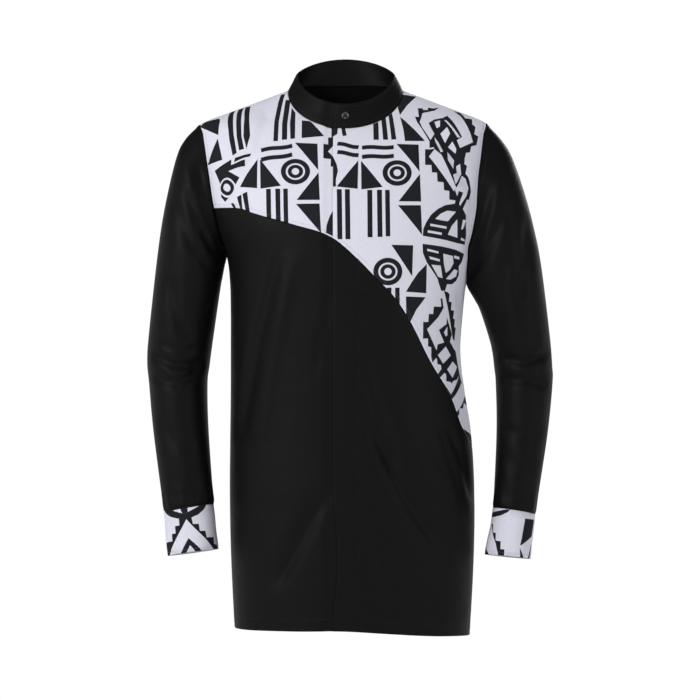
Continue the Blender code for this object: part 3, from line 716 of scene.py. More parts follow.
def baked(made):
    """Its modifiers made part of its mesh."""
    graph = bpy.context.evaluated_depsgraph_get()
    mesh = bpy.data.meshes.new_from_object(made.evaluated_get(graph))
    made.modifiers.clear()
    old = made.data
    made.data = mesh
    mesh.name = made.name
    bpy.data.meshes.remove(old)


def add_panel(name, face, outline, seams, materials, chart=(), sink=0.0, lining=None):
    """A cut panel laid on the body. Its seams are the runs of its outline with topstitching."""
    outline = np.asarray(outline, float)
    keep = np.linalg.norm(outline - np.roll(outline, 1, axis=0), axis=1) > 1e-4
    outline = outline[keep]
    flat = on_cloth(face, outline)
    if (np.roll(flat[:, 0], -1) * flat[:, 1] - flat[:, 0] * np.roll(flat[:, 1], -1)).sum() > 0:
        flat, outline = flat[::-1].copy(), outline[::-1].copy()
    shapes = [(np.array(shape) / 1000, dark) for shape, dark in chart]
    spots, source, faces, inked = flat_mesh(flat, PRINT_STEP if chart else PLAIN_STEP, shapes)
    z = level_at(face, spots[:, 0], spots[:, 1])
    on_edge = source >= 0
    z[on_edge] = outline[source[on_edge], 1]
    s = spots[:, 0]
    away = ring_distance(flat, spots)
    out = -EDGE_ROLL * (1 - ease(away / EDGE_REACH))
    for seam in seams:
        seam = on_cloth(face, seam)
        out -= groove(distance_to(seam[:-1], seam[1:], spots))
    points = body_point(face, s, z, out - (sink(s) if callable(sink) else sink))
    if face > 0:
        faces = faces[:, ::-1]
    a, b, c = (points[faces[:, k]] for k in range(3))
    turned = np.einsum("ij,ij->i", np.cross(b - a, c - a), (a + b + c) / 3 - np.array([0, 0, a[:, 2].mean()]))
    if turned.sum() < 0:
        faces = faces[:, ::-1]
    return add_cloth(name, points, faces, materials, inked.astype(int), spots, lining=lining)


def groove(away):
    """The dent that a row of topstitching pulls into the cloth."""
    return STITCH_DENT * np.exp(-(((away - STITCH_IN) / STITCH_REACH) ** 2))


def underlap(s):
    """The right front dips under the placket's upper layer."""
    return LAP_SINK * ease((s + PLACKET_HALF + 0.016) / 0.010)


# The print, charted in millimetres of cloth: across from the centre front, up from the chest line
def disc(s, t, wide, tall):
    turns = np.radians(np.arange(0.0, 360.0, 9.0))
    return [(s + wide * math.cos(a), t + tall * math.sin(a)) for a in turns]


def ring(s, t):
    """An eye: a black disc, a white band in it and a white pupil."""
    return [
        (disc(s, t, 22.2, 20.6), True),
        (disc(s, t, 14.6, 13.4), False),
        (disc(s, t, 11.8, 10.8), True),
        (disc(s, t, 5.6, 5.4), False),
    ]


def bar(start, end, width, ripple=0.0):
    """A brush-like bar of one width, with a soft ripple along it."""
    (s0, t0), (s1, t1) = start, end
    length = math.hypot(s1 - s0, t1 - t0)
    across = (-(t1 - t0) / length * width / 2, (s1 - s0) / length * width / 2)
    steps = np.linspace(0, 1, 9 if ripple else 2)
    middle = [(s0 + (s1 - s0) * u, t0 + (t1 - t0) * u + ripple * math.sin(u * 2 * math.pi)) for u in steps]
    upper = [(s + across[0], t + across[1]) for s, t in middle]
    lower = [(s - across[0], t - across[1]) for s, t in middle]
    return upper + lower[::-1]


def block(s, t, lean=0.0):
    """The repeat's main block round one eye: tents and bars to its left, three triangles to its right."""
    shapes = [
        ([(-54.5, 20), (-54, -26.5), (-22, -22.5)], True),
        ([(-58.5, 20.5), (-91, -22), (-59.5, -25.5)], True),
        (bar((-53, 42 + lean), (-5, 43), 7, 1.0), True),
        (bar((-53, 26 + lean), (-5, 28), 7, 1.0), True),
        ([(-1, 48.5), (33, 47), (34.5, 2)], True),
        ([(35, -1.5), (2, -44.5), (37, -44.5)], True),
        ([(1, -50.5), (36.5, -50), (39, -95)], True),
        (bar((-41.5, -27), (-41, -99), 7.5), True),
        (bar((-27, -27), (-26, -98.5), 7.5), True),
        (bar((-15, -27), (-14, -97.5), 7), True),
    ]
    return [([(s + x, t + y) for x, y in shape], dark) for shape, dark in shapes] + ring(s, t)


RIGHT_CHART = [
    *block(-75, 140, -7),
    # what shows of the next block, turned under the fold beside the armhole
    ([(-208, 148), (-176, 162), (-177, 153), (-153, 160), (-154, 150), (-182, 144), (-164, 133), (-172, 122),
      (-181, 107), (-192, 98), (-199, 106), (-197, 122)], True),
    ([(-172, 157), (-146, 165), (-143, 170), (-170, 164)], True),
    (disc(-186, 119, 14.2, 15.0), False),
    (disc(-186, 119, 11.4, 12.0), True),
    (disc(-186, 119, 5.4, 6.0), False),
    ([(-142, 163), (-167, 121), (-186, 97), (-183, 94), (-163, 118), (-139, 159)], False),
    ([(-181, 94), (-176, 95), (-169, 82), (-174, 83)], True),
    ([(-169, 103), (-161, 106), (-160, 80), (-163, 80)], True),
    ([(-159, 107), (-151, 110), (-147, 74), (-154, 77)], True),
    # shoulder bars and triangles
    ([(-184, 266), (-176, 268), (-173, 230), (-172, 205), (-167, 172), (-174, 168), (-179, 195), (-182, 230)], True),
    ([(-170, 270), (-161, 271), (-160, 230), (-159, 200), (-155, 178), (-163, 176), (-167, 200), (-168, 235)], True),
    ([(-158, 272), (-149, 273), (-147, 230), (-145, 200), (-151, 178), (-156, 200), (-155, 235)], True),
    ([(-236, 227), (-222, 240), (-198, 243), (-195, 232), (-198, 205)], True),
    ([(-199, 199), (-222, 159), (-192, 163)], True),
    ([(-240, 236), (-206, 254), (-207, 259), (-242, 244)], True),
    # under the collar
    ([(-109, 191), (-102, 191), (-101, 230), (-94, 296), (-101, 296), (-108, 230)], True),
    ([(-96, 193), (-88, 194), (-88, 225), (-84, 280), (-92, 280), (-96, 225)], True),
    ([(-83, 195), (-76, 196), (-76, 250), (-82, 262), (-84, 225)], True),
    ([(-66, 197), (-32, 201), (-53, 231), (-66, 233)], True),
    ([(-21, 224), (-21, 200), (-26, 200), (-26, 187), (-33, 187), (-33, 162), (-22, 162), (-22, 149),
      (-17, 149), (-15, 135), (5, 135), (5, 224)], True),
    ([(-26, 175), (-11, 194), (-11, 157)], False),
    ([(-17, 82), (-23, 72), (-28, 58), (-29, 46), (-17, 40)], True),
]

LEFT_CHART = [
    # under the collar
    ([(-21, 222), (-11, 222), (-12, 205), (-20, 199)], True),
    ([(-7, 222), (-1, 222), (2, 202), (-4, 201)], True),
    ([(42, 226), (50, 230), (50.5, 194), (42.5, 194)], True),
    ([(54.5, 234), (61, 242), (64.5, 194), (57, 194)], True),
    ([(65.5, 244), (71, 250), (77, 194.5), (69.5, 194)], True),
    ([(83, 241), (121, 191), (90, 191.5), (88, 212)], True),
    ([(83, 245), (95, 268), (112, 293), (86, 293), (80, 262)], True),
    # the main block, wrapping a little past the placket's edge
    ([(-19, 166), (-13, 152), (-11, 141), (-14, 128), (-14, 116), (-21, 116)], True),
    (bar((-12, 187), (20, 181), 7, 1.0), True),
    (bar((-12, 172.5), (20, 167), 7, 0.8), True),
    (bar((-9, 112), (-8, 36), 7.5), True),
    (bar((3, 112), (4, 36), 7.5), True),
    *block(78, 138),
    # the stepped lozenge over the shoulder: its stair outline, then the chain of diamonds inside it
    ([(106, 241), (112, 240), (111, 261), (119, 261), (119, 257), (127, 257), (127, 263), (137, 262),
      (146, 266), (138, 256), (127, 252), (118, 249), (116, 239), (113, 228), (117, 216), (136, 181),
      (128, 179), (128, 190), (116, 214), (109, 228)], True),
    ([(170, 260), (182, 259), (184, 249), (187, 238), (199, 237), (198, 223), (204, 218), (203, 205),
      (211, 202), (208, 187), (198, 184), (196, 174), (189, 173), (187, 164), (187, 155), (192, 152),
      (191, 140), (196, 136), (200, 129), (204, 113), (203, 108), (200, 100), (194, 100), (186, 84),
      (178, 84), (184, 94), (193, 106), (198, 118), (193, 132), (182, 139), (178, 153), (178, 180),
      (190, 186), (201, 191), (195, 207), (186, 225), (179, 244), (172, 257)], True),
    # the far border, turned over the shoulder
    ([(112, 303), (149, 287), (176, 275), (202, 262), (215, 256), (228, 247), (238, 237), (260, 236),
      (260, 330), (104, 330)], True),
    ([(127, 226), (136, 234), (149, 237), (157, 243), (181, 199), (172, 193), (178, 180), (178, 150),
      (188, 141), (178, 124), (170, 112), (160, 137), (146, 168), (136, 178), (128, 190), (136, 204)], True),
    ([(136, 229), (145, 231), (145, 219), (140, 217)], False),
    ([(151, 232), (155, 231), (178, 198), (173, 198), (163, 214)], False),
    ([(146, 206), (156, 217), (161, 205), (154, 189)], False),
    ([(165, 191), (172, 178), (171, 171), (159, 182)], False),
    ([(158, 174), (170, 160), (168, 146), (158, 160)], False),
    ([(174, 151), (180, 155), (184, 139), (172, 122), (167, 137), (175, 140)], False),
    ([(116, 237), (127, 225), (136, 205), (131, 204), (117, 224)], False),
    ([(136, 198), (142, 190), (150, 174), (146, 172), (137, 190)], False),
    # the stair down from it, beside a long white bar
    ([(121, 177), (130, 177), (136, 178), (146, 169), (170, 116), (183, 84), (172, 84), (172, 97),
      (161, 98), (161, 111), (152, 112), (151, 124), (141, 125), (140, 139), (132, 139), (131, 151),
      (121, 151)], True),
    ([(136, 177), (127, 165), (169, 111), (173, 117), (147, 168)], False),
    # the great split disc
    ([(118, 42), (119, 53), (123, 62), (131, 74), (142, 83), (154, 89), (170, 92), (184, 88), (194, 76),
      (197, 60), (203, 45), (204, 31), (180, 33), (155, 37)], True),
    ([(138, 68), (147, 76), (158, 81), (174, 80), (167, 73), (160, 65), (148, 66)], False),
    ([(130, 60.5), (158, 57), (158, 53.5), (130, 57)], False),
    ([(126, 50.5), (150, 47.5), (150, 44), (126, 47)], False),
    ([(177, 69), (180, 41), (161, 45), (167, 58)], False),
    ([(188, 69), (196, 69), (190, 55), (186, 54)], False),
    ([(188, 42), (200, 39), (200, 36), (188, 38)], False),
    ([(170, 90), (178, 90), (186, 110), (178, 112)], True),
    ([(118, 30), (150, 27), (178, 23), (204, 17), (199, 4), (192, -2), (195, -15), (189, -24), (178, -30),
      (166, -30), (162, -40), (154, -40), (150, -32), (146, -22), (137, -11), (126, 2), (119, 16)], True),
    ([(126, 23), (146, 19), (146, 16), (126, 19.5)], False),
    ([(130, 11.5), (149, 7.5), (149, 4), (131, 7.5)], False),
    ([(155, 16), (175, 13), (178, 2), (171, -8), (162, -13), (157, 2)], False),
    ([(134, -1), (151, -2), (156, -21), (147, -19)], False),
    ([(178, 14), (191, 12), (191, 8), (178, 10)], False),
    ([(163, -22), (181, -7), (190, -9), (187, -18), (173, -23)], False),
    # the lower block's part beside the seam
    *ring(64, -12),
    (bar((66, -36), (66, -60), 7), True),
    (bar((78.5, -36), (79, -70), 7), True),
    ([(69, 28), (103, 27.5), (102, -19)], True),
    ([(126, 0), (126, -44), (92, -42), (101, -28), (111, -14)], True),
    ([(92, -49), (125, -50), (109, -69), (99, -88), (93, -90)], True),
    # the stairs and chevrons below the disc
    ([(153, -51), (157, -52), (160, -66), (150, -79), (128, -98), (147, -131), (150, -141), (138, -148),
      (136, -141), (136, -125), (130, -124), (130, -112), (121, -112), (121, -87), (130, -87), (131, -75),
      (139, -75), (140, -64), (155, -64)], True),
    ([(168, -80), (168, -90), (151, -99), (163, -118), (149, -121), (146, -131), (148, -150), (136, -148),
      (148, -172), (157, -190), (176, -214), (196, -243), (222, -288), (236, -320), (260, -320), (260, -215),
      (216, -180), (204, -150), (197, -132), (190, -128), (178, -117), (183, -106), (175, -92)], True),
    ([(170, -94), (162, -103), (167, -109), (171, -107)], False),
    ([(160, -40), (168, -42), (173, -45), (172, -56), (179, -57), (178, -69), (187, -70), (185, -82),
      (191, -83), (190, -95), (196, -96), (192, -116), (187, -114), (181, -99), (172, -72)], True),
    ([(167, -124), (180, -138), (160, -150), (149, -137)], False),
    ([(185, -147), (200, -156), (182, -172), (169, -159)], False),
    ([(146, -141), (146, -150), (155, -152), (156, -158), (147, -167), (137, -149)], False),
    ([(162, -164), (166, -166), (166, -177), (176, -178), (179, -181), (183, -177), (196, -175), (206, -169),
      (176, -197), (153, -171)], False),
    ([(173, -208), (192, -195), (212, -182), (260, -176), (260, -200), (225, -203), (205, -214), (184, -226)],
     False),
    ([(196, -219), (209, -220), (216, -212), (260, -222), (260, -268), (238, -262), (212, -254), (200, -249),
      (190, -231), (194, -228)], False),
    ([(213, -266), (217, -265), (228, -280), (222, -279)], False),
    ([(232, -290), (260, -285), (260, -300), (236, -296)], False),
    ([(198, -128), (206, -136), (216, -160), (210, -156), (200, -138)], False),
]

# Cuffs: degrees round from the outer line by way of the front, share of the way down
RIGHT_CUFF_CHART = [
    ([(16, 0), (27, 0.05), (45, 0.13), (63, 0.18), (68, 0.19), (67, 0.33), (56, 0.33), (55, 0.5), (44, 0.5),
      (43, 0.68), (24, 0.68), (10, 0.7), (10, 1.02), (27, 1.02), (85, 0.22), (147, 1.02), (165, 1.02),
      (163, 0.9), (150, 0.88), (150, 0.71), (128, 0.7), (126, 0.53), (113, 0.52), (112, 0.35), (99, 0.34),
      (97, 0.2), (113, 0.16), (128, 0.08), (140, -0.02)], True),
    ([(54, 0.03), (77, 0.1), (73, 0.02)], False),
    ([(90, 0.09), (117, 0.01), (90, 0.02)], False),
    ([(86, 0.66), (63, 1.02), (115, 1.02)], True),
    ([(88, 0.84), (77, 1.02), (99, 1.02)], False),
]
LEFT_CUFF_CHART = [
    ([(190, 0.08), (170, 0.08), (150, 0.06), (133, 0.04), (118, 0.01), (103, 0.0), (112, 0.06), (128, 0.12),
      (150, 0.16), (190, 0.17)], True),
    ([(166, 0.28), (155, 0.31), (148, 0.49), (137, 0.49), (133, 0.67), (117, 0.68), (114, 0.86), (104, 0.86),
      (102, 1.02), (117, 1.02), (130, 0.75), (150, 0.5)], True),
    ([(182, 0.8), (172, 0.85), (143, 1.02), (190, 1.02)], True),
    ([(60, 0.11), (20, 0.1), (22, 0.45), (35, 0.52), (66, 0.73), (63, 0.5)], True),
    ([(66, 0.78), (49, 1.02), (61, 1.02)], True),
    ([(18, 0.62), (24, 0.7), (35, 1.02), (25, 1.02)], True),
]

YOKE_CHART = [
    *block(-150, 178),
    *block(-30, 178),
    *block(90, 178),
    *[(bar((s, 292), (s, 246), 7), True) for s in (-176, -164, -152, -56, -44, -32, 64, 76, 88, 184, 196, 208)],
    *[([(s, 246), (s + 34, 244), (s + 2, 288)], True) for s in (-210, -130, -10, 110)],
]


def front_cloth(side):
    """One front, cut by the diagonal seam into a printed and a black panel: their outlines and stitched runs."""
    half_gap = SEAM_GAP * 0.75
    arm = armhole(side, -1)
    seam_side = side_seam(side, -1)
    ends = (float(inner_edge(side, -0.22)), 0.205 if side > 0 else -0.213)
    seam = diagonal_seam(*ends)
    turn = lap_turn() if side < 0 else -lap_turn()
    neck = neck_line(turn, side * math.pi / 2)
    if side > 0:
        last = crossing(seam, seam_side)
        seam = np.array([p for p in seam if p[0] < last[0] - 0.002] + [last])
        lower_side = seam_side[seam_side[:, 1] < last[1] - 0.003]
        upper_side = np.concatenate([arm, seam_side[1:][seam_side[1:, 1] > last[1] + 0.003]])
    else:
        last = crossing(seam, arm)
        seam = np.array([p for p in seam if p[0] > last[0] + 0.002] + [last])
        lower_side = np.concatenate([arm[arm[:, 1] < last[1] - 0.002], seam_side[1:]])
        upper_side = arm[arm[:, 1] > last[1] + 0.002]
    levels = -np.arange(1, 180) * INNER_EDGE_STEP
    hem_low = float(hem_level(-1, inner_edge(side, -0.82)))
    top_levels = levels[(levels < neck[0, 1] - 0.002) & (levels > seam[0, 1] + 0.002)]
    low_levels = levels[(levels < seam[0, 1] - 0.002) & (levels > hem_low + 0.002)]
    inner_top = np.stack([inner_edge(side, top_levels), top_levels], axis=1)
    inner_low = np.stack([inner_edge(side, low_levels), low_levels], axis=1)
    hem_s = np.linspace(float(inner_edge(side, -0.82)), seam_side[-1, 0], 52)
    hem = np.stack([hem_s, hem_level(-1, hem_s)], axis=1)
    shoulder = shoulder_seam(side, -1)
    upper = [neck, shoulder[1:], upper_side[1:], seam[::-1] + (0, half_gap), inner_top[::-1]]
    lower = [seam - (0, half_gap), lower_side, hem[::-1][1:], inner_low[::-1]]
    upper_stitched = [seam, upper_side[:-2] if side > 0 else upper_side, shoulder]
    lower_stitched = [seam, hem[:-1]]
    return np.concatenate(upper), np.concatenate(lower), upper_stitched, lower_stitched


def add_fronts(shirt):
    """The four front pieces."""
    made = {}
    for side, name in ((1, "left"), (-1, "right")):
        upper, lower, upper_stitched, lower_stitched = front_cloth(side)
        chart = LEFT_CHART if side > 0 else RIGHT_CHART
        sink = 0.0 if side > 0 else underlap
        printed = [shirt.ground, shirt.ink]
        made[f"front_{name}_print"] = add_panel(
            f"shirt_front_{name}_print", -1, upper, upper_stitched, printed, chart, sink, shirt.wrong_side)
        made[f"front_{name}_black"] = add_panel(
            f"shirt_front_{name}_black", -1, lower, lower_stitched, [shirt.black], (), sink)
    return made


def back_cloth():
    """The back yoke and the back below it."""
    right, left = armhole(-1, 1), armhole(1, 1)
    ends = [line[np.abs(line[:, 1] - level).argmin()] for line, level in zip((right, left), YOKE_SEAM)]
    s = np.linspace(ends[0][0], ends[1][0], 100)
    seam = np.stack([s, np.interp(s, (ends[0][0], ends[1][0]), (ends[0][1], ends[1][1]))], axis=1)
    half_gap = SEAM_GAP * 0.5
    neck_right = neck_line(-math.pi / 2 - 0.01, -math.pi)[1:]
    neck = np.concatenate([
        [(edge_s(-1, 1, 0.0), 0.0)], neck_right, neck_right[::-1][1:] * (-1, 1), [(edge_s(1, 1, 0.0), 0.0)]])
    over_left, under_left = left[left[:, 1] > ends[1][1] + 0.001], left[left[:, 1] < ends[1][1] - 0.001]
    over_right, under_right = right[right[:, 1] > ends[0][1] + 0.001], right[right[:, 1] < ends[0][1] - 0.001]
    shoulder_left, shoulder_right = shoulder_seam(1, 1), shoulder_seam(-1, 1)
    yoke = [neck, shoulder_left[1:], over_left[1:], seam[::-1] + (0, half_gap), over_right[:0:-1],
            shoulder_right[:0:-1]]
    side_left, side_right = side_seam(1, 1), side_seam(-1, 1)
    hem_s = np.linspace(side_right[-1, 0], side_left[-1, 0], 104)[1:-1]
    hem = np.stack([hem_s, hem_level(1, hem_s)], axis=1)
    lower = [seam - (0, half_gap), under_left, side_left[1:], hem[::-1], side_right[:0:-1], under_right[::-1]]
    return np.concatenate(yoke), np.concatenate(lower), seam, hem


def add_back(shirt):
    yoke, lower, seam, hem = back_cloth()
    printed = [shirt.ground, shirt.ink]
    return {
        "back_yoke_print": add_panel("shirt_back_yoke", 1, yoke, [seam], printed, YOKE_CHART, 0.0, shirt.black),
        "back_black": add_panel("shirt_back", 1, lower, [seam, hem], [shirt.black]),
    }


def sleeve_ring(side, place, turns):
    """A ring of the sleeve: turn 0 is its outer line, a quarter turn its front, half a turn its inner line."""
    rows = np.array(SLEEVE_STATIONS[side]).T / 1000
    ox, oz, ix, iz, half, forward = (smooth(place, np.arange(len(row)), row) for row in rows)
    tip = FORWARD_TILT * half * ease(place / CUFF_START)
    x = (ox + ix) / 2 + (ox - ix) / 2 * np.cos(turns)
    z = (oz + iz) / 2 + (oz - iz) / 2 * np.cos(turns) + tip * np.sin(turns)
    y = -forward - half * np.sin(turns)
    return np.stack([x, y, z], axis=-1)


def armhole_loop(side, steps):
    """The armhole seam on the body, from the shoulder round the front to the armpit and back, and across it."""
    front, back = armhole(side, -1, steps), armhole(side, 1, steps)[-2:0:-1]
    loop = np.concatenate([body_point(-1, *front.T), body_point(1, *back.T)])
    loop[[0, steps], 1] = 0.0
    normals = np.concatenate([
        body_normal(face, *unit_ring(face, *line.T), line[:, 1]) for face, line in ((-1, front), (1, back))])
    along = np.roll(loop, -1, axis=0) - np.roll(loop, 1, axis=0)
    outward = np.cross(normals, along) * side
    return loop, outward / np.linalg.norm(outward, axis=1, keepdims=True)


def grid_normals(points):
    """Outward normals of a closed tube given as rows of points."""
    along = np.gradient(points, axis=0)
    around = np.roll(points, -1, axis=1) - np.roll(points, 1, axis=1)
    normals = np.cross(around, along)
    middle = points.mean(axis=1, keepdims=True)
    if ((points - middle) * normals).sum() < 0:
        normals = -normals
    return normals / np.maximum(np.linalg.norm(normals, axis=2, keepdims=True), 1e-9)


def grid_faces(rows, count, closed=True):
    """Four-sided faces of a grid of points, closed round into a tube or open."""
    r, k = np.meshgrid(np.arange(rows - 1), np.arange(count if closed else count - 1), indexing="ij")
    n = (k + 1) % count
    return np.stack([r * count + k, r * count + n, (r + 1) * count + n, (r + 1) * count + k], axis=-1).reshape(-1, 4)


def end_rolls(from_top, from_bottom):
    """How far a tube's two ends roll in, 0 to 1."""
    return np.exp(-((from_top / 0.002) ** 2)) + np.exp(-((from_bottom / 0.002) ** 2))


def sleeve_points(side):
    """The sleeve's rows of points, from the armhole seam down to the cuff, with its creases."""
    steps = SLEEVE_TURNS
    count = 2 * steps
    turns = np.linspace(0, 2 * math.pi, count, endpoint=False)
    loop, outward = armhole_loop(side, steps)
    first = sleeve_ring(side, 0.0, turns)
    over = np.maximum(np.cos(turns), 0.0)[:, None]
    onward = sleeve_ring(side, 0.35, turns) - first
    onward /= np.linalg.norm(onward, axis=1, keepdims=True)
    leave = outward * over + onward * (1 - over)
    leave /= np.linalg.norm(leave, axis=1, keepdims=True)
    rows = [loop + leave * SEAM_GAP, loop + leave * SEAM_TURN]
    places = np.concatenate([np.linspace(0, 3, 28)[1:], np.linspace(3, CUFF_START, 84)[1:]])
    places = places[places > 0.30]
    for place in places:
        keep = (1 - ease(place / 3.0)) ** 2
        rows.append(sleeve_ring(side, place, turns) + (loop - first) * keep)
    last = rows[-1]
    back = rows[-2] - last
    rows[-1] = last + back * SEAM_GAP / np.linalg.norm(back, axis=1, keepdims=True)
    points = np.array(rows)
    normals = grid_normals(points)
    front = -np.sin(turns)[None, :]
    x, z = points[..., 0], points[..., 2]
    facing = np.where(front < 0, creases(x, z, SLEEVE_CREASES[side]), creases(x, z, SLEEVE_BACK_CREASES[side]))
    facing = facing * (SILHOUETTE + (1 - SILHOUETTE) * ease(np.abs(front) / 0.6))
    run = np.concatenate([[0.0], np.cumsum(np.linalg.norm(np.diff(points, axis=0), axis=2).mean(axis=1))])
    cuff = np.exp(-(((run[-1] - run) / 0.022) ** 2))[:, None]
    pleats = GATHER * cuff * np.sin(turns * 11 + side)[None, :] * (0.3 + 0.7 * np.abs(np.sin(turns * 1.5))[None, :])
    moved = facing + pleats
    moved *= (ease(run / 0.014) * ease((run[-1] - run) / 0.004))[:, None]
    moved -= (EDGE_ROLL * 0.8 * end_rolls(run, run[-1] - run))[:, None]
    return points + normals * moved[..., None], run


def add_sleeve(side, shirt):
    points, run = sleeve_points(side)
    rows, count = points.shape[:2]
    around = np.arange(count) / count * SLEEVE_AROUND
    uv = np.stack(np.broadcast_arrays(around[None, :], run[:, None]), axis=-1).reshape(-1, 2)
    name = "left" if side > 0 else "right"
    faces = grid_faces(rows, count)[:, ::1 if side > 0 else -1]
    slots = np.zeros(len(faces), int)
    return add_cloth(f"shirt_sleeve_{name}", points.reshape(-1, 3), faces, [shirt.black], slots, uv)


def cuff_point(side, degrees, down, out=0.0):
    """A point on the cuff's outer surface by its turn and its share of the way down."""
    turns = np.radians(degrees)
    spot = sleeve_ring(side, CUFF_START + down, turns)
    outward = np.stack([np.cos(turns) * side, -np.sin(turns), np.zeros(turns.shape)], axis=-1)
    low = out - EDGE_ROLL * end_rolls(down * CUFF_DEEP, (1 - down) * CUFF_DEEP)
    for row in CUFF_STITCHES:
        low = low - STITCH_DENT * np.exp(-(((down - row) * CUFF_DEEP / STITCH_REACH) ** 2))
    low = low + 0.0006 * np.sin(turns * 3 + down * 4 + side) * np.sin(down * math.pi)
    return spot + outward * low[..., None]


def add_cuff(side, shirt):
    """A printed cuff: its flat sheet cut along the chart, closed into a tube at the back."""
    chart = LEFT_CUFF_CHART if side > 0 else RIGHT_CUFF_CHART
    chart = chart + [([(degree + 180, down) for degree, down in shape], dark) for shape, dark in chart]
    chart += [([(degree - 360, down) for degree, down in shape], dark) for shape, dark in chart]
    low, high = -90.0, 270.0
    wide = math.radians(1) * CUFF_RADIUS
    scale = np.array([wide, CUFF_DEEP])
    across = np.linspace(low, high, 66)
    down = np.linspace(0, 1, 16)
    outline = np.concatenate([
        np.stack([across, np.zeros(66)], axis=1),
        np.stack([np.full(14, high), down[1:-1]], axis=1),
        np.stack([across[::-1], np.ones(66)], axis=1),
        np.stack([np.full(14, low), down[-2:0:-1]], axis=1),
    ]) * scale
    outline = outline[::-1].copy()
    shapes = [(np.array(shape) * scale, dark) for shape, dark in chart]
    spots, _, faces, inked = flat_mesh(outline, CUFF_STEP, shapes)
    degrees, share = (spots / scale).T
    points = cuff_point(side, degrees, np.clip(share, 0, 1))
    outward = points - sleeve_ring(side, CUFF_START + share, np.zeros(len(share))) * 0.5
    outward -= sleeve_ring(side, CUFF_START + share, np.full(len(share), math.pi)) * 0.5
    a, b, c = (points[faces[:, k]] for k in range(3))
    if (np.cross(b - a, c - a) * outward[faces[:, 0]]).sum() < 0:
        faces = faces[:, ::-1]
    name = f"shirt_cuff_{'left' if side > 0 else 'right'}"
    printed = [shirt.ground, shirt.ink]
    return add_cloth(name, points, faces, printed, inked.astype(int), spots, BAND, shirt.wrong_side)


def collar_point(turn, up, out=0.0):
    low = body_point(*neck_spot(turn), fine=False) + np.array([0.0, 0.0, SEAM_GAP])
    side_way = max(math.cos(turn), 0.0) ** 1.15
    back_way = max(-math.cos(turn), 0.0) ** 1.4
    deep = COLLAR_TOP_FRONT if math.cos(turn) > 0 else COLLAR_TOP_BACK
    z = COLLAR_SIDE_HEIGHT - COLLAR_FRONT_DROP * side_way + COLLAR_BACK_RISE * back_way
    high = np.array([COLLAR_TOP_HALF * math.sin(turn), -deep * math.cos(turn), z])
    point = low + (high - low) * up
    return point + np.array([math.sin(turn), -math.cos(turn), 0.0]) * out


def collar_surface(turn, up):
    """The band's outer surface with its rolled edges and stitched dents; its right end runs on under its left."""
    lap = lap_turn()
    wrapped = turn if turn <= math.pi else turn - 2 * math.pi
    under = float(ease((turn - 2 * math.pi + 2.4 * lap) / (1.2 * lap)))
    height = up * COLLAR_DEEP
    from_end = min(turn + lap, 2 * math.pi + lap - turn) * NECK_HALF_WIDTH
    near = min(height, COLLAR_DEEP - height, from_end)
    out = -EDGE_ROLL * float(1 - ease(near / 0.0022)) - float(groove(near)) * 0.8
    out += 0.0007 * math.sin(turn * 5 + 1) * math.sin(up * math.pi) - (EDGE_ROLL if up < 0 else 0.0)
    return collar_point(wrapped, up, out - COLLAR_LAP * under)


def add_collar(shirt):
    lap = lap_turn()
    turns = np.linspace(-lap, 2 * math.pi + lap, 290)
    ups = np.concatenate([[-COLLAR_TUCK, 0, 0.03, 0.08], np.linspace(0.12, 0.88, 24), [0.92, 0.97, 1.0]])
    points = np.array([[collar_surface(turn, up) for turn in turns] for up in ups])
    faces = grid_faces(len(ups), len(turns), closed=False)
    uv = np.stack(np.meshgrid(turns * COLLAR_AROUND, ups * COLLAR_DEEP), axis=-1).reshape(-1, 2)
    slots = np.zeros(len(faces), int)
    return add_cloth("shirt_collar_band", points.reshape(-1, 3), faces, [shirt.black], slots, uv, BAND)


def add_button(shirt):
    """A polished button with a raised rim and a dished middle, turned about the band's outward direction."""
    radius, thick = BUTTON_RADIUS, BUTTON_THICKNESS
    profile = ((0, 0.66), (0.30, 0.64), (0.56, 0.66), (0.66, 0.74), (0.74, 0.94), (0.82, 1.0), (0.90, 0.97),
               (0.97, 0.84), (1.0, 0.62), (0.98, 0.38), (0.92, 0.16), (0.78, 0.02), (0.4, 0.0), (0, 0.0))
    up = 1 - BUTTON_DOWN
    low, high = collar_point(0.0, 0.0), collar_point(0.0, 1.0)
    rise = Vector(high - low).normalized()
    outward = Vector((1.0, 0.0, 0.0)).cross(rise).normalized()
    spot = Vector(low + (high - low) * up) + outward * 0.0006
    turned = outward.to_track_quat("Z", "Y").to_matrix()
    built = bmesh.new()
    rings = []
    for share, level in profile[1:-1]:
        ring_verts = []
        for k in range(BUTTON_TURNS):
            turn = 2 * math.pi * k / BUTTON_TURNS
            local = Vector((radius * share * math.cos(turn), radius * share * math.sin(turn), thick * level))
            ring_verts.append(built.verts.new(spot + turned @ local))
        rings.append(ring_verts)
    for upper, lower in zip(rings, rings[1:]):
        for k in range(BUTTON_TURNS):
            n = (k + 1) % BUTTON_TURNS
            built.faces.new((upper[k], lower[k], lower[n], upper[n]))
    built.faces.new(rings[0])
    built.faces.new(rings[-1][::-1])
    bmesh.ops.recalc_face_normals(built, faces=built.faces)
    mesh = bpy.data.meshes.new("shirt_collar_button")
    built.to_mesh(mesh)
    built.free()
    mesh.materials.append(shirt.resin)
    mesh.shade_smooth()
    return linked("shirt_collar_button", mesh)


def new_node(tree, kind, settings=None, **inputs):
    """A node with its settings and input values; a space in an input's name is written as an underscore."""
    node = tree.nodes.new(kind)
    for name, value in (settings or {}).items():
        setattr(node, name, value)
    for name, value in inputs.items():
        node.inputs[name.replace("_", " ")].default_value = value
    return node


def join(tree, *pairs):
    """Links given as (node, output, node, input)."""
    for source, given, target, taken in pairs:
        tree.links.new(source.outputs[given], target.inputs[taken])


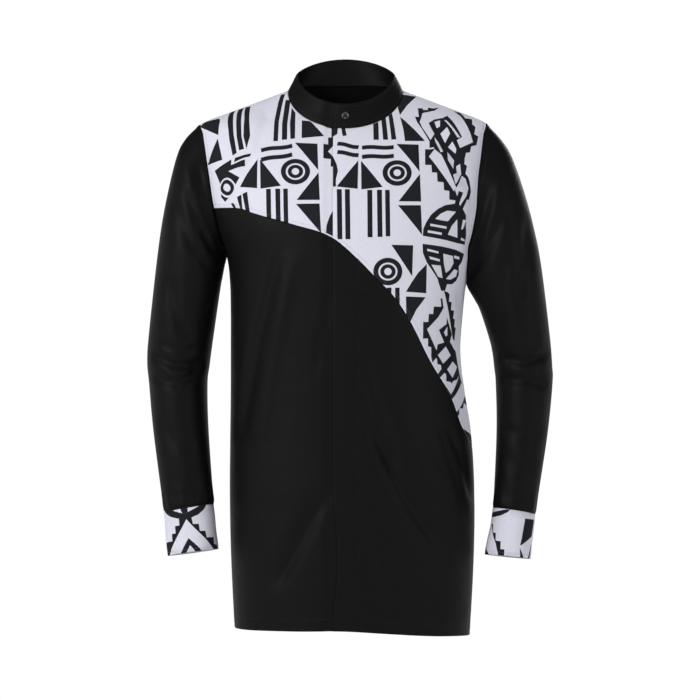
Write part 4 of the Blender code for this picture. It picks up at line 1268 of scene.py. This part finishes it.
def weave_group():
    """Plain-woven poplin from the cloth's own UV: a fine bump, a slow unevenness of tone and long soft wrinkles."""
    group = bpy.data.node_groups.new("poplin", "ShaderNodeTree")
    face = group.interface
    thread = face.new_socket("Threads per metre", in_out="INPUT", socket_type="NodeSocketFloat")
    thread.default_value = 2600.0
    face.new_socket("Normal", in_out="OUTPUT", socket_type="NodeSocketVector")
    face.new_socket("Tone", in_out="OUTPUT", socket_type="NodeSocketFloat")
    given = new_node(group, "NodeGroupInput")
    taken = new_node(group, "NodeGroupOutput")
    uv = new_node(group, "ShaderNodeUVMap", {"uv_map": "cloth"})
    scaled = new_node(group, "ShaderNodeVectorMath", {"operation": "SCALE"})
    axes = new_node(group, "ShaderNodeSeparateXYZ")
    across = new_node(group, "ShaderNodeMath", {"operation": "SINE"})
    down = new_node(group, "ShaderNodeMath", {"operation": "SINE"})
    woven = new_node(group, "ShaderNodeMath", {"operation": "MULTIPLY"})
    place = new_node(group, "ShaderNodeTexCoord")
    slow = new_node(group, "ShaderNodeTexNoise", Scale=14.0, Detail=3.0, Roughness=0.45, Distortion=0.6)
    soft = new_node(group, "ShaderNodeBump", Strength=0.55, Distance=WRINKLE_HIGH)
    fine = new_node(group, "ShaderNodeBump", Strength=0.25, Distance=0.00008)
    fleck = new_node(group, "ShaderNodeTexNoise", Scale=420.0, Detail=2.0)
    tone = new_node(group, "ShaderNodeMapRange", To_Min=0.93, To_Max=1.07)
    join(
        group,
        (uv, "UV", scaled, 0),
        (given, "Threads per metre", scaled, "Scale"),
        (scaled, 0, axes, 0),
        (axes, "X", across, 0),
        (axes, "Y", down, 0),
        (across, 0, woven, 0),
        (down, 0, woven, 1),
        (place, "Object", slow, "Vector"),
        (slow, "Fac", soft, "Height"),
        (woven, 0, fine, "Height"),
        (soft, "Normal", fine, "Normal"),
        (place, "Object", fleck, "Vector"),
        (fleck, "Fac", tone, "Value"),
        (fine, "Normal", taken, "Normal"),
        (tone, "Result", taken, "Tone"),
    )
    return group


def plain_material(name, colour, roughness, coat=0.0):
    made = bpy.data.materials.new(name)
    made.use_nodes = True
    shader = made.node_tree.nodes["Principled BSDF"]
    shader.inputs["Base Color"].default_value = (*colour, 1.0)
    shader.inputs["Roughness"].default_value = roughness
    shader.inputs["Coat Weight"].default_value = coat
    return made


def cloth_material(name, colour, roughness, gloss, group):
    made = plain_material(name, colour, roughness)
    tree = made.node_tree
    shader = tree.nodes["Principled BSDF"]
    shader.inputs["Specular IOR Level"].default_value = gloss
    woven = new_node(tree, "ShaderNodeGroup", {"node_tree": group})
    tinted = new_node(tree, "ShaderNodeMix", {"data_type": "RGBA", "blend_type": "MULTIPLY"})
    tinted.inputs["Factor"].default_value = 1.0
    tinted.inputs["A"].default_value = (*colour, 1.0)
    join(
        tree,
        (woven, "Tone", tinted, "B"),
        (tinted, "Result", shader, "Base Color"),
        (woven, "Normal", shader, "Normal"),
    )
    return made


class Shirt:
    """The shirt's materials, made once and shared by its pieces."""

    def __init__(self, props):
        group = weave_group()
        self.black = cloth_material("black poplin", props.black, 0.54, 0.065, group)
        self.ground = cloth_material("print ground", props.ground, 0.75, 0.25, group)
        self.ink = cloth_material("print ink", props.ink, 0.70, 0.06, group)
        self.wrong_side = cloth_material("print wrong side", props.wrong_side, 0.80, 0.20, group)
        self.resin = plain_material("button resin", props.resin, 0.16, 0.6)
        self.dark_thread = plain_material("dark thread", props.thread, 0.55)
        # The thread on the print is white; its grey colour here is painted shade standing for the shadow in the
        # stitched groove.
        self.print_thread_painted_shade = plain_material("print thread with painted groove shade", props.print_thread_painted_shade, 0.6)


def shirt_materials():
    if "shirt" not in MADE:
        MADE["shirt"] = Shirt(bpy.context.scene.tunic_shirt)
    return MADE["shirt"]


def stitch_group():
    """Geometry nodes that lay one short thread after another along a line of edges."""
    group = bpy.data.node_groups.new("topstitching", "GeometryNodeTree")
    face = group.interface
    face.new_socket("Line", in_out="INPUT", socket_type="NodeSocketGeometry")
    for name, value in (("Pitch", 0.0031), ("Length", 0.0023), ("Thickness", 0.0004)):
        socket = face.new_socket(name, in_out="INPUT", socket_type="NodeSocketFloat")
        socket.default_value = value
        socket.subtype = "DISTANCE"
    face.new_socket("Thread", in_out="INPUT", socket_type="NodeSocketMaterial")
    face.new_socket("Stitches", in_out="OUTPUT", socket_type="NodeSocketGeometry")
    given = new_node(group, "NodeGroupInput")
    taken = new_node(group, "NodeGroupOutput")
    curve = new_node(group, "GeometryNodeMeshToCurve")
    even = new_node(group, "GeometryNodeResampleCurve", {"mode": "LENGTH"})
    tangent = new_node(group, "GeometryNodeInputTangent")
    turned = new_node(group, "FunctionNodeAlignRotationToVector", {"axis": "X"})
    bead = new_node(group, "GeometryNodeMeshIcoSphere", Radius=0.5, Subdivisions=1)
    placed = new_node(group, "GeometryNodeInstanceOnPoints")
    size = new_node(group, "ShaderNodeCombineXYZ")
    real = new_node(group, "GeometryNodeRealizeInstances")
    painted = new_node(group, "GeometryNodeSetMaterial")
    join(
        group,
        (given, "Line", curve, "Mesh"),
        (curve, "Curve", even, "Curve"),
        (given, "Pitch", even, "Length"),
        (even, "Curve", placed, "Points"),
        (bead, "Mesh", placed, "Instance"),
        (tangent, "Tangent", turned, "Vector"),
        (turned, "Rotation", placed, "Rotation"),
        (given, "Length", size, "X"),
        (given, "Thickness", size, "Y"),
        (given, "Thickness", size, "Z"),
        (size, "Vector", placed, "Scale"),
        (placed, "Instances", real, "Geometry"),
        (real, "Geometry", painted, "Geometry"),
        (given, "Thread", painted, "Material"),
        (painted, "Geometry", taken, "Stitches"),
    )
    return group


def add_stitches(name, lines, thread):
    """Rows of topstitching, each given as points on the cloth."""
    if "stitches" not in MADE:
        MADE["stitches"] = stitch_group()
    group = MADE["stitches"]
    points, edges = [], []
    for line in lines:
        first = len(points)
        points += [tuple(map(float, p)) for p in line]
        edges += [(first + k, first + k + 1) for k in range(len(line) - 1)]
    mesh = bpy.data.meshes.new(name)
    mesh.from_pydata(points, edges, [])
    made = linked(name, mesh)
    row = made.modifiers.new("topstitching", "NODES")
    row.node_group = group
    for item in group.interface.items_tree:
        if item.name == "Thread":
            row[item.identifier] = thread
        if item.name == "Thickness":
            row[item.identifier] = bpy.context.scene.tunic_shirt.stitch
    baked(made)
    return made


def seam_row(face, line, inward):
    """A row of stitching beside a seam, offset across the cloth towards a point inside the panel."""
    flat = on_cloth(face, line)
    along = np.gradient(flat, axis=0)
    across = np.stack([-along[:, 1], along[:, 0]], axis=1) / np.linalg.norm(along, axis=1)[:, None]
    if np.dot(np.array(inward) - flat.mean(axis=0), across.mean(axis=0)) < 0:
        across = -across
    moved = flat + across * STITCH_IN
    return body_point(face, moved[:, 0], level_at(face, moved[:, 0], moved[:, 1]), STITCH_HIGH)


def body_rows():
    """The body's stitching on print, along its seams, and on black, down the placket and round the hem."""
    printed, plain = [], []
    for side in (-1, 1):
        arm = armhole(side, -1)
        if side > 0:
            printed.append(seam_row(-1, arm[3:-2], (0.05, 0.05)))
        else:
            printed.append(seam_row(-1, arm[3:][arm[3:, 1] > -0.180], (-0.05, 0.15)))
        printed.append(seam_row(-1, shoulder_seam(side, -1)[2:-2], (side * 0.12, 0.15)))
    left = diagonal_seam(float(inner_edge(1, -0.22)) + 0.002, 0.196)
    right = diagonal_seam(-PLACKET_HALF - 0.001, -0.200)
    printed.append(seam_row(-1, left, (0.10, 0.10)))
    printed.append(seam_row(-1, right, (-0.08, 0.20)))
    levels = np.arange(*PLACKET_ROW)
    across = np.full(len(levels), STITCH_LINE + 0.0003)
    column = body_point(-1, across, levels, STITCH_HIGH)
    printed.append(column[levels > PLACKET_ROW_PRINT_END])
    plain.append(column[levels < PLACKET_ROW_PRINT_END - 0.004])
    s = np.linspace(-0.225, 0.238, 150)
    right_front, left_front = s < -PLACKET_HALF - 0.004, s > -PLACKET_HALF + 0.010
    for face, run in ((-1, right_front), (-1, left_front), (1, np.full(len(s), True))):
        z = hem_level(face, s) + HEM_STITCHES
        plain.append(body_point(face, s[run], z[run], STITCH_HIGH))
    return printed, plain


def sleeve_rows():
    rows = []
    for side in (-1, 1):
        degrees = np.linspace(-86, 266, 170)
        for down in CUFF_STITCHES:
            rows.append(cuff_point(side, degrees, np.full(170, down), STITCH_HIGH + STITCH_DENT * 0.6))
    return rows


def collar_rows():
    lap = lap_turn()
    inset = STITCH_IN / COLLAR_DEEP
    rows = []
    for up in (inset, 1 - inset):
        turns = np.linspace(-lap + 0.06, 2 * math.pi - lap, 260)
        rows.append(np.array([collar_surface(turn, up) for turn in turns]))
    turn = -lap + STITCH_IN / NECK_HALF_WIDTH
    rows.append(np.array([collar_surface(turn, up) for up in np.linspace(inset, 1 - inset, 12)]))
    return rows


def dressed(made):
    """Each piece of cloth takes its solid's place on the frame."""
    for node, piece in made.items():
        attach(piece, "root")
        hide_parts(node)


def sewn_on(piece):
    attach(piece, "root")


def colour_property(name, description, default):
    return bpy.props.FloatVectorProperty(
        name=name, description=description, default=default, size=3, min=0.0, max=1.0, subtype="COLOR")


class TunicShirtProperties(bpy.types.PropertyGroup):
    black: colour_property("Black poplin", "Colour of the body, sleeves and collar", (0.0038, 0.0038, 0.0040))
    ground: colour_property("Print ground", "Colour of the printed cloth's ground", (0.525, 0.530, 0.600))
    ink: colour_property("Print ink", "Colour of the printed shapes", (0.0105, 0.0110, 0.0138))
    wrong_side: colour_property("Wrong side", "Colour of the printed cloth's inner side", (0.36, 0.36, 0.40))
    resin: colour_property("Button", "Colour of the collar button", (0.010, 0.010, 0.012))
    thread: colour_property("Dark thread", "Colour of the stitching on black cloth", (0.012, 0.012, 0.013))
    # Grey colour of the white thread on the print: painted shade of the stitched groove.
    print_thread_painted_shade: colour_property("Print thread, painted shade", "Colour of the stitching on printed cloth", (0.13, 0.13, 0.15))
    stitch: bpy.props.FloatProperty(
        name="Stitch width", description="Width of one stitch", default=0.00042, min=0.0001, max=0.002,
        subtype="DISTANCE", unit="LENGTH")
    floor: colour_property("Floor", "Colour of the floor and backdrop", (0.92, 0.92, 0.92))


class TUNIC_OT_fronts(bpy.types.Operator):
    """Add the four front panels with their print"""

    bl_idname = "tunic.fronts"
    bl_label = "Fronts"

    def execute(self, context):
        dressed(add_fronts(shirt_materials()))
        return {"FINISHED"}


class TUNIC_OT_back(bpy.types.Operator):
    """Add the printed back yoke and the black back"""

    bl_idname = "tunic.back"
    bl_label = "Back"

    def execute(self, context):
        dressed(add_back(shirt_materials()))
        return {"FINISHED"}


class TUNIC_OT_sleeves(bpy.types.Operator):
    """Add both sleeves with their creases"""

    bl_idname = "tunic.sleeves"
    bl_label = "Sleeves"

    def execute(self, context):
        shirt = shirt_materials()
        dressed({"sleeve_left": add_sleeve(1, shirt), "sleeve_right": add_sleeve(-1, shirt)})
        return {"FINISHED"}


class TUNIC_OT_cuffs(bpy.types.Operator):
    """Add both printed cuffs"""

    bl_idname = "tunic.cuffs"
    bl_label = "Cuffs"

    def execute(self, context):
        shirt = shirt_materials()
        dressed({"cuff_left": add_cuff(1, shirt), "cuff_right": add_cuff(-1, shirt)})
        return {"FINISHED"}


class TUNIC_OT_collar(bpy.types.Operator):
    """Add the collar band and its button"""

    bl_idname = "tunic.collar"
    bl_label = "Collar and button"

    def execute(self, context):
        shirt = shirt_materials()
        dressed({"collar_band": add_collar(shirt), "collar_button": add_button(shirt)})
        return {"FINISHED"}


class TUNIC_OT_stitching(bpy.types.Operator):
    """Add the topstitching"""

    bl_idname = "tunic.stitching"
    bl_label = "Topstitching"

    def execute(self, context):
        shirt = shirt_materials()
        printed, plain = body_rows()
        # The stitching on the print takes the grey thread colour, painted shade of its groove.
        sewn_on(add_stitches("stitching_on_print", printed + sleeve_rows(), shirt.print_thread_painted_shade))
        sewn_on(add_stitches("stitching_on_black", plain + collar_rows(), shirt.dark_thread))
        return {"FINISHED"}


class TUNIC_OT_stage(bpy.types.Operator):
    """Add the floor, lights, surroundings and camera"""

    bl_idname = "tunic.stage"
    bl_label = "Studio"

    def execute(self, context):
        add_stage(context.scene)
        return {"FINISHED"}


class TUNIC_PT_panel(bpy.types.Panel):
    bl_idname = "TUNIC_PT_panel"
    bl_label = "Print panel tunic shirt"
    bl_space_type = "VIEW_3D"
    bl_region_type = "UI"
    bl_category = "Tunic"

    def draw(self, context):
        column = self.layout.column()
        for item in OPERATORS:
            column.operator(item.bl_idname)
        for name in TunicShirtProperties.__annotations__:
            column.prop(context.scene.tunic_shirt, name)


OPERATORS = (
    TUNIC_OT_fronts, TUNIC_OT_back, TUNIC_OT_sleeves, TUNIC_OT_cuffs, TUNIC_OT_collar, TUNIC_OT_stitching,
    TUNIC_OT_stage,
)
CLASSES = (TunicShirtProperties, *OPERATORS, TUNIC_PT_panel)


def add_light(name, place, target, size, power):
    lamp = bpy.data.lights.new(name, "AREA")
    lamp.shape = "RECTANGLE"
    lamp.size, lamp.size_y = size
    lamp.energy = power
    made = linked(name, lamp)
    made.location = place
    made.rotation_euler = (Vector(target) - Vector(place)).to_track_quat("-Z", "Y").to_euler()


def add_floor(scene):
    mesh = bpy.data.meshes.new("floor")
    turns = np.linspace(0, 2 * math.pi, 97)[:-1]
    rim = [(FLOOR_RADIUS * math.cos(turn), FLOOR_RADIUS * math.sin(turn), FLOOR_LEVEL) for turn in turns]
    mesh.from_pydata(rim, [], [tuple(range(len(rim)))])
    pale = plain_material("floor", scene.tunic_shirt.floor, 0.9)
    shader = pale.node_tree.nodes["Principled BSDF"]
    shader.inputs["Emission Color"].default_value = (1.0, 1.0, 1.0, 1.0)
    shader.inputs["Emission Strength"].default_value = FLOOR_GLOW
    mesh.materials.append(pale)
    linked("floor", mesh)


def add_surroundings(scene):
    """Pale all round at eye level and dimmer overhead."""
    world = bpy.data.worlds.new("studio")
    world.use_nodes = True
    tree = world.node_tree
    background = tree.nodes["Background"]
    background.inputs["Color"].default_value = (1.0, 1.0, 1.0, 1.0)
    place = new_node(tree, "ShaderNodeTexCoord")
    axes = new_node(tree, "ShaderNodeSeparateXYZ")
    dimmed = new_node(
        tree, "ShaderNodeMapRange", From_Min=0.145, From_Max=0.26, To_Min=EYE_LEVEL_LIGHT, To_Max=OVERHEAD_LIGHT)
    join(
        tree,
        (place, "Generated", axes, 0),
        (axes, "Z", dimmed, "Value"),
        (dimmed, "Result", background, "Strength"),
    )
    scene.world = world
    scene.view_settings.view_transform = "Standard"


def add_stage(scene):
    """A pale floor, soft lights, pale surroundings and the camera."""
    add_floor(scene)
    add_light("key light", (-2.2, -2.2, 1.0), (0, 0, -0.35), (1.0, 1.2), 88.0)
    add_light("fill light", (2.6, -2.0, 0.3), (0, 0, -0.40), (1.2, 1.6), 26.0)
    add_light("top light", (0.2, 0.2, 2.4), (0, 0, -0.30), (1.4, 1.0), 12.0)
    add_light("back light", (1.6, 2.6, 1.0), (0, 0, -0.35), (1.2, 1.4), 40.0)
    add_surroundings(scene)
    camera = bpy.data.cameras.new("camera")
    camera.sensor_width = 36.0
    camera.lens = 36.0 * CAMERA_FAR / CAMERA_WIDE
    camera.clip_end = 60.0
    made = linked("camera", camera)
    made.location = (CAMERA_X, -CAMERA_FAR, CAMERA_Z)
    made.rotation_euler = (math.pi / 2, 0.0, 0.0)
    scene.camera = made


def register():
    for item in CLASSES:
        bpy.utils.register_class(item)
    bpy.types.Scene.tunic_shirt = bpy.props.PointerProperty(type=TunicShirtProperties)


def unregister():
    del bpy.types.Scene.tunic_shirt
    for item in reversed(CLASSES):
        bpy.utils.unregister_class(item)


def main():
    register()
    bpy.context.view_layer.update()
    bpy.ops.tunic.fronts()
    bpy.ops.tunic.back()
    bpy.ops.tunic.sleeves()
    bpy.ops.tunic.cuffs()
    bpy.ops.tunic.collar()
    bpy.ops.tunic.stitching()
    bpy.ops.tunic.stage()


if __name__ == "__main__":
    main()
